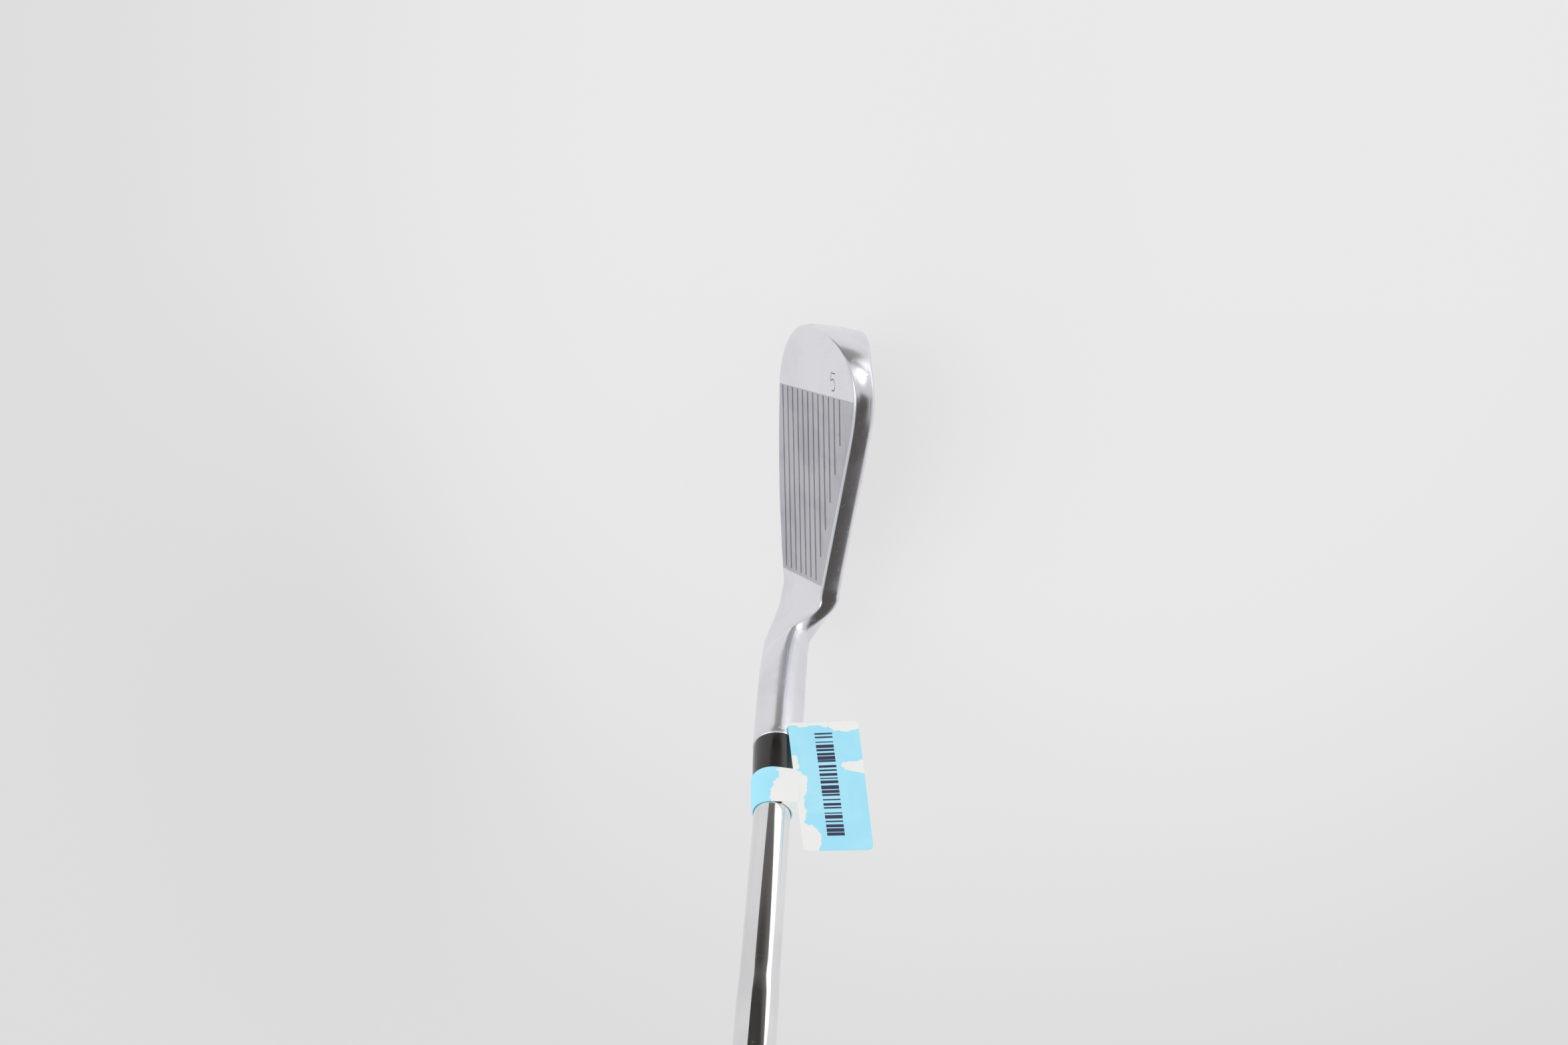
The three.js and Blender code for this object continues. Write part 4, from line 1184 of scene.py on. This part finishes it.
# A point on the sheet, x across and y along it, to the shaft's local frame.
def tagPoint(x, y, above=0.0):
    skew = tagPlace["skew"]
    x *= 0.975 - tagPlace["curl"] * y / tagSize["length"]  # the sheet curls a little across its lower end
    across = x * math.cos(skew) + y * math.sin(skew) + tagPlace["reach"]
    along = y * math.cos(skew) - x * math.sin(skew) + tagPlace["start"]
    local = Vector((-tagPlace["standoff"] - above - tagLift(x, y), across, along))
    return Matrix.Rotation(tagPlace["turn"], 3, "Z") @ local


def roundedInset(y, length, corner):
    fromEnd = min(y, length - y)
    if fromEnd >= corner:
        return 0.0
    return corner - math.sqrt(max(0.0, corner ** 2 - (corner - fromEnd) ** 2))


def paintPlace(mesh, places):
    layer = mesh.uv_layers.new(name="sheetPlace")
    for loop in mesh.loops:
        x, y = places[loop.vertex_index]
        layer.data[loop.index].uv = (x / paperTag["scale"], y / paperTag["scale"])


def addTag(size):
    rows, columns, half = tagPlace["rows"], tagPlace["columns"], size["thickness"] / 2
    points, places, faces = [], [], []
    ends = [size["corner"] * (1 - math.cos(a)) for a in spread(0, math.pi / 2, 6)]
    levels = ends + spread(size["corner"], size["length"] - size["corner"],
        rows) + [size["length"] - e for e in ends[::-1]]
    for side in (1, -1):
        for y in levels:
            inset = roundedInset(y, size["length"], size["corner"])
            for x in spread(inset, size["width"] - inset, columns, last=True):
                points.append(tagPoint(x, y, side * half))
                places.append((x, y))
    wide, layer = columns + 1, len(levels) * (columns + 1)
    for r in range(len(levels) - 1):
        for c in range(columns):
            a = r * wide + c
            quad = (a, a + 1, a + wide + 1, a + wide)
            faces.append(quad[::-1])
            faces.append(tuple(layer + k for k in quad))
    rim = [c for c in range(wide)] + [r * wide + columns for r in range(1, len(levels))]
    rim += [(len(levels) - 1) * wide + c for c in range(columns - 1, -1, -1)]
    rim += [r * wide for r in range(len(levels) - 2, 0, -1)]
    for a, b in zip(rim, rim[1:] + rim[:1]):
        faces.append((a, b, layer + b, layer + a))
    mesh = bpy.data.meshes.new("paperTag")
    mesh.from_pydata([p * toMetres for p in points], [], faces)
    paintPlace(mesh, places)
    tidyMesh(mesh, 50)
    mesh.transform(ontoShaft)
    mesh.materials.append(tagPaper)
    return linkPiece("paperTag", mesh)


# The band's section is a loop: round the ferrule, then both ends meet behind the tag.
tailPoints = 8  # points from where the two ends meet back to the loop's start


def bandLoop(radius, layers, steps=56):
    join = Vector((-tagPlace["standoff"] + layers, tagPlace["joinAt"]))
    distance = join.length
    bearing = math.atan2(join.y, join.x)
    spare = math.acos(radius / distance)
    loop = []
    for angle in spread(bearing + spare, bearing + spare + math.tau - tagPlace["openAngle"], steps,
        last=True):
        loop.append(Vector((radius * math.cos(angle), radius * math.sin(angle))))
    first, last = loop[0], loop[-1]
    ends = [last.lerp(join, t) for t in spread(0, 1, 8)][1:] + [join.lerp(first, t) for t in spread(0, 1,
        tailPoints)]
    return loop + ends


def addBandLoop(size):
    heights = spread(tagPlace["bandStart"], tagPlace["bandStart"] + tagPlace["bandLength"], 8, last=True)
    turn = Matrix.Rotation(tagPlace["turn"], 3, "Z")
    rings, places = [], []
    for outer in (True, False):
        for height in (heights if outer else heights[::-1]):
            gap = tagPlace["bandGap"] + (size["thickness"] if outer else 0)
            eased = smooth((height - ferruleEnd + 2.4) / 2.4)
            loop = bandLoop(mix(ferruleRadius(height), 4.88, eased) + gap, 0.25 if outer else 0.5)
            rings.append([turn @ Vector((p.x, p.y, height)) for p in loop])
            steps = [(p - loop[i - 1]).length if i else 0 for i, p in enumerate(loop)]
            for i in range(len(loop)):
                length = sum(steps[:i + 1])
                if i >= len(loop) - tailPoints:
                    length -= sum(steps) + (loop[0] - loop[-1]).length
                places.append((bandShift + length * 0.5, height - tagPlace["bandStart"]))
    points, faces = skinRings(rings, loop=True)
    mesh = bpy.data.meshes.new("paperBand")
    mesh.from_pydata([p * toMetres for p in points], [], faces)
    paintPlace(mesh, places)
    tidyMesh(mesh, 50)
    mesh.transform(ontoShaft)
    mesh.materials.append(tagPaper)
    return linkPiece("paperBand", mesh)


barSizes = {"Count": 25, "Span": 33.0, "Length": 4.9, "Thin": 0.3, "Thick": 1.25, "Height": 0.03, "Seed": 11}
barPlace = {"x": 9.5, "y": 20.4}


# Plain bars of uneven width, printed across the tag. Each is a thin raised strip.
def addBars(sizes, place):
    piece = linkPiece("tagBars", bpy.data.meshes.new("tagBars"))
    nodes = NodeTree("printedBars")
    given = {}
    for label, value in sizes.items():
        whole = label in ("Count", "Seed")
        given[label] = nodes.size(label, value if whole else value * toMetres,
                                  "NodeSocketInt" if whole else "NodeSocketFloat")
    gap = nodes.math("DIVIDE", given["Span"], nodes.math("SUBTRACT", given["Count"], 1.0))
    line = nodes.node("GeometryNodeMeshLine", {"Count": given["Count"], "Offset": nodes.vector(0.0, gap,
        0.0)})
    slide = nodes.node("FunctionNodeRandomValue", {2: -0.24, 3: 0.24, "Seed": given["Seed"]},
        data_type="FLOAT")
    shifted = nodes.node("GeometryNodeSetPosition", {
        "Geometry": line.outputs[0], "Offset": nodes.vector(0.0, nodes.math("MULTIPLY", slide.outputs[1],
        gap), 0.0)})
    pick = nodes.node("FunctionNodeRandomValue", {2: 0.0, 3: 1.0, "Seed": nodes.math("ADD", given["Seed"],
        5.0)},
                      data_type="FLOAT")
    share = nodes.math("POWER", pick.outputs[1], 1.5)
    wide = nodes.math("MULTIPLY_ADD", share, nodes.math("SUBTRACT", given["Thick"], given["Thin"]),
        given["Thin"])
    bar = nodes.node("GeometryNodeMeshCube", {"Size": nodes.vector(given["Length"], 1.0, given["Height"])})
    instances = nodes.node("GeometryNodeInstanceOnPoints", {
        "Points": shifted.outputs[0], "Instance": bar.outputs[0], "Scale": nodes.vector(1.0, wide, 1.0)})
    nodes.build(piece, instances.outputs[0], ink, 30)
    half = tagSize["thickness"] / 2
    for vertex in piece.data.vertices:
        flat = vertex.co / toMetres
        across = place["x"] + flat.x
        along = place["y"] - barSizes["Span"] / 2 + flat.y
        vertex.co = ontoShaft @ (tagPoint(across, along, half + flat.z) * toMetres)
    tidyMesh(piece.data, 30)
    return piece


paperTagSheet = addTag(tagSize)
paperBand = addBandLoop(tagSize)
tagBars = addBars(barSizes, barPlace)
print("tag:", len(paperTagSheet.data.polygons) + len(paperBand.data.polygons), "faces")


# Badge in the pocket: a plate with a soft edge and slats that follow the topline

badge = {"inset": 2.4, "front": 3.8, "thickness": 1.1, "round": 0.3}
slatSizes = {"Count": 4, "Spacing": 2.6, "Width": 1.1, "Height": 0.3, "Length": 22.0}


def addBadge(sizes, slats):
    front, back, edge = sizes["front"], sizes["front"] + sizes["thickness"], sizes["round"]
    levels = [(edge, front), (0, front + edge), (0, back - edge), (edge * 0.3, back - edge * 0.3), (edge,
        back)]
    points, faces = skinRings([pocketRing(sizes["inset"] + inset, w) for inset, w in levels])
    piece = meshPiece("pocketBadge", points, faces)
    nodes = NodeTree("badgeSlats")
    given = {}
    for label, value in slats.items():
        whole = label == "Count"
        given[label] = nodes.size(label, value if whole else value * toMetres,
                                  "NodeSocketInt" if whole else "NodeSocketFloat")
    line = nodes.node("GeometryNodeMeshLine", {
        "Count": given["Count"], "Offset": nodes.vector(0.0, 0.0, nodes.math("MULTIPLY", given["Spacing"],
        -1.0))})
    index = nodes.node("GeometryNodeInputIndex").outputs[0]
    shorter = nodes.math("SUBTRACT", 1.0, nodes.math("MULTIPLY", index, 0.08))
    slat = nodes.node("GeometryNodeMeshCube", {
        "Size": nodes.vector(given["Length"], nodes.math("MULTIPLY", given["Height"], 2.0), given["Width"])})
    soft = nodes.node("GeometryNodeSubdivisionSurface", {"Mesh": slat.outputs[0], "Level": 2,
        "Edge Crease": 0.7})
    instances = nodes.node("GeometryNodeInstanceOnPoints", {
        "Points": line.outputs[0], "Instance": soft.outputs[0], "Scale": nodes.vector(shorter, 1.0, 1.0)})
    turned = nodes.node("GeometryNodeTransform", {"Geometry": instances.outputs[0]})
    turned.inputs["Rotation"].default_value = (0, math.atan(blade["toplineSlope"]), 0)
    settled = nodes.node("GeometryNodeTransform", {"Geometry": turned.outputs[0]})
    settled.inputs["Translation"].default_value = (0.0125, 0.0, 0.0275)
    tilted = nodes.node("GeometryNodeTransform", {"Geometry": settled.outputs[0]})
    tilted.inputs["Rotation"].default_value = (-loft, 0, 0)
    place = bladePoint(0, 0, back) * toMetres
    tilted.inputs["Translation"].default_value = place
    both = nodes.node("GeometryNodeJoinGeometry")
    for source in (tilted.outputs[0], nodes.inside.outputs["Geometry"]):
        nodes.tree.links.new(source, both.inputs[0])
    return nodes.build(piece, both.outputs[0], badgeDark, 40)


pocketBadge = addBadge(badge, slatSizes)
print("badge:", len(pocketBadge.data.polygons), "faces")


# Which CAD node each piece stands for, and the finish it takes

riders = [
    (headBody, "club_head", "head_steel"), (pocketBadge, "cavity_badge", "badge_metal"),
    (shaftTube, "shaft", "shaft_chrome"), (ferruleCollar, "ferrule", "ferrule_plastic"),
    (shaftFoil, "shaft_band", "foil"), (gripSleeve, "grip", "grip_rubber"), (gripEndCap, "grip_cap",
    "cap_rubber"),
    (paperTagSheet, "flag_label", "label_paper"), (paperBand, "flag_label", "label_paper"),
    (tagBars, "flag_label", "label_paper"),
]
for piece, node, slot in riders:
    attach(piece, "root")
    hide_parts(node)

kept = {"badge_adhesive": foam, "hosel_epoxy": resin, "tip_weight": brass, "grip_tape": tapePaper}
for node, material in kept.items():
    materials = frame["nodes"][node].data.materials
    if materials:
        for index in range(len(materials)):
            materials[index] = material
    else:
        materials.append(material)
print("pieces placed:", len(riders), "and CAD nodes kept:", len(kept))


# Studio: pale floor with painted light and shade, soft lights, and cards that only reflections see: dark ones
# as painted reflections, a glowing one as a painted highlight

studio = {
    # Floor: its glow, a painted pool of light beyond the toe that is darker further out, and a painted shadow
    # patch in front of the heel.
    "floorColour": (0.25, 0.25, 0.25), "floorSize": 3.0, "glow": (0.618, 0.614, 0.616), "paintedLightCentre": (-0.09,
    0.077, 0.0), "paintedFalloffShare": 0.84,
    "paintedShadowAt": (0.077, -0.156, 0.0), "paintedShadowReach": (0.15, 0.10, 1.0), "paintedShadowShare": 0.82,
    # Colours of the dark floor card, a painted reflection.
    "shadeNear": (0.34, 0.33, 0.29), "shadeMiddle": (0.15, 0.14, 0.13), "shadeFar": (0.045, 0.04, 0.035),
    "worldColour": (0.93, 0.935, 0.95), "worldStrength": 0.72,
    "lights": [
        {"name": "studioKey", "towards": (-0.74, 0.61, 0.28), "distance": 1.3, "size": 0.26, "spread": 60,
        "power": 0.75,
         "glossOnly": True},
        {"name": "studioFill", "towards": (-0.1, -0.6, 0.8), "distance": 2.0, "size": 1.4, "spread": 180,
        "power": 8.0,
         "glossOnly": False},
    ],
    "aim": (0.0, 0.0, 0.04),
}


# Floor paper: it glows evenly, so shadows stay faint, with painted light and shade on it: a painted pool of
# light beyond the toe that is darker further out, and a ragged painted shadow patch out in front of the heel.
def floorFinish(values):
    material, tree, shader = newMaterial("floorPaper", {"Roughness": 0.9, "Specular IOR Level": 0.1,
        "Emission Strength": 1.0})
    place = shaderNode(tree, "ShaderNodeTexCoord").outputs["Object"]
    # Painted shadow: a ragged soft patch on the floor, darkest at its middle.
    fromPaintedShadow = shaderNode(tree, "ShaderNodeVectorMath", {0: place, 1: values["paintedShadowAt"]},
        operation="SUBTRACT")
    sized = shaderNode(tree, "ShaderNodeVectorMath", {
        0: fromPaintedShadow.outputs[0], 1: tuple(1 / r for r in values["paintedShadowReach"])}, operation="MULTIPLY")
    away = shaderNode(tree, "ShaderNodeVectorMath", {0: sized.outputs[0]},
        operation="LENGTH").outputs["Value"]
    noise = shaderNode(tree, "ShaderNodeTexNoise", {"Vector": place, "Scale": 5.0,
        "Detail": 1.0}).outputs["Fac"]
    ragged = shaderMath(tree, "MULTIPLY_ADD", shaderMath(tree, "SUBTRACT", noise, 0.5), 0.8, away)
    shade = remap(tree, ragged, 1.0, 0.1)
    # Painted light: the floor is brightest round one spot and darker further out.
    fromPaintedLight = shaderNode(tree, "ShaderNodeVectorMath", {0: place, 1: values["paintedLightCentre"]},
        operation="DISTANCE")
    outer = remap(tree, fromPaintedLight.outputs["Value"], 0.12, 0.33)
    tone = blendColours(tree, outer, values["glow"], tuple(c * values["paintedFalloffShare"] for c in values["glow"]))
    tone = blendColours(tree, shade, tone, tuple(c * values["paintedShadowShare"] for c in values["glow"]))
    shader.inputs["Base Color"].default_value = (*values["floorColour"], 1)
    tree.links.new(tone, shader.inputs["Emission Color"])
    return material


# Dark card on the floor, seen only in reflections as a painted reflection: olive grey beside the head, and
# darker further away.
def shadeFinish(values):
    material, tree, shader = newMaterial("cardShade", {"Roughness": 0.9, "Specular IOR Level": 0.1})
    place = shaderNode(tree, "ShaderNodeTexCoord").outputs["Object"]
    away = shaderNode(tree, "ShaderNodeVectorMath", {0: place}, operation="LENGTH").outputs["Value"]
    tone = blendColours(tree, remap(tree, away, 0.1, 0.45), values["shadeNear"], values["shadeMiddle"])
    tone = blendColours(tree, remap(tree, away, 0.42, 0.9), tone, values["shadeFar"])
    tree.links.new(tone, shader.inputs["Base Color"])
    return material


def plainFinish(name, colour, colourFar, scale, roughness):
    material, tree, shader = newMaterial(name, {"Roughness": roughness, "Specular IOR Level": 0.2})
    place = shaderNode(tree, "ShaderNodeTexCoord").outputs["Object"]
    noise = shaderNode(tree, "ShaderNodeTexNoise", {"Vector": place, "Scale": scale,
        "Detail": 2.0}).outputs["Fac"]
    tone = blendColours(tree, remap(tree, noise, 0.35, 0.7), colour, colourFar)
    tree.links.new(tone, shader.inputs["Base Color"])
    return material


def flatCard(name, corners, material):
    mesh = bpy.data.meshes.new(name)
    mesh.from_pydata(corners, [], [tuple(range(len(corners)))])
    mesh.materials.append(material)
    card = linkPiece(name, mesh)
    return card


def onlyReflected(card):
    card.visible_camera = False
    card.visible_diffuse = False
    card.visible_shadow = False
    card.visible_transmission = False


def facingCard(name, towards, distance, width, height, material):
    ahead = Vector(towards).normalized()
    centre = Vector(studio["aim"]) + ahead * distance
    side = Vector((0, 0, 1)).cross(ahead).normalized() * width / 2
    rise = ahead.cross(side.normalized()).normalized() * height / 2
    card = flatCard(name, [centre - side - rise, centre + side - rise, centre + side + rise,
        centre - side + rise], material)
    onlyReflected(card)
    return card


def addStudio(values):
    reach = values["floorSize"]
    paper = floorFinish(values)
    flatCard("studioFloor", [(-reach, -reach, 0), (reach, -reach, 0), (reach, reach, 0), (-reach, reach,
        0)], paper)
    dark = plainFinish("cardDark", (0.105, 0.094, 0.085), (0.08, 0.073, 0.068), 2.0, 0.8)
    # A dark card on the floor that only reflections see: a painted reflection of dark surroundings.
    onlyReflected(flatCard("cardFloor", [
        (-0.097, -0.026, 0.001), (-0.103, 0.06, 0.001), (-0.30, 0.09, 0.001), (-0.27, 0.36, 0.001), (-0.25,
        1.2, 0.001),
        (-2.6, 2.2, 0.001), (-2.6, -1.6, 0.001), (-0.85, -0.46, 0.001), (-0.30, -0.10, 0.001), (-0.16,
        -0.045, 0.001)], shadeFinish(values)))
    # A glowing card on the floor that only reflections see: a painted highlight on the hosel and the shaft.
    bright = newMaterial("paintedHighlightCard", {"Emission Strength": 1.0, "Roughness": 1.0})[0]
    bright.node_tree.nodes["Principled BSDF"].inputs["Emission Color"].default_value = (0.6, 0.61, 0.63, 1)
    onlyReflected(flatCard("paintedHighlightCard", [
        (-0.045, 0.10, 0.002), (-0.04, 0.27, 0.002), (-0.24, 0.45, 0.002), (-0.26, 0.30, 0.002), (-0.28,
        0.11, 0.002),
        (-0.12, 0.085, 0.002)], bright))
    # Dark cards beside the heel and overhead that only reflections see: painted reflections of a dark room.
    facingCard("cardHeel", (0.84, 0.5, 0.2), 1.3, 1.1, 0.8, dark)
    facingCard("cardOver", (0.45, 0.62, 0.66), 1.2, 1.5, 1.2, dark)
    world = bpy.data.worlds.new("studioWorld")
    world.use_nodes = True
    background = world.node_tree.nodes["Background"]
    background.inputs["Color"].default_value = (*values["worldColour"], 1)
    background.inputs["Strength"].default_value = values["worldStrength"]
    bpy.context.scene.world = world
    aim = Vector(values["aim"])
    for light in values["lights"]:
        data = bpy.data.lights.new(light["name"], "AREA")
        data.size = light["size"]
        data.energy = light["power"]
        data.spread = math.radians(light["spread"])
        lamp = linkPiece(light["name"], data)
        lamp.visible_diffuse = not light["glossOnly"]
        lamp.location = aim + Vector(light["towards"]).normalized() * light["distance"]
        lamp.rotation_euler = (aim - lamp.location).to_track_quat("-Z", "Y").to_euler()
    bpy.context.scene.view_settings.view_transform = "Standard"


addStudio(studio)
print("studio lit")
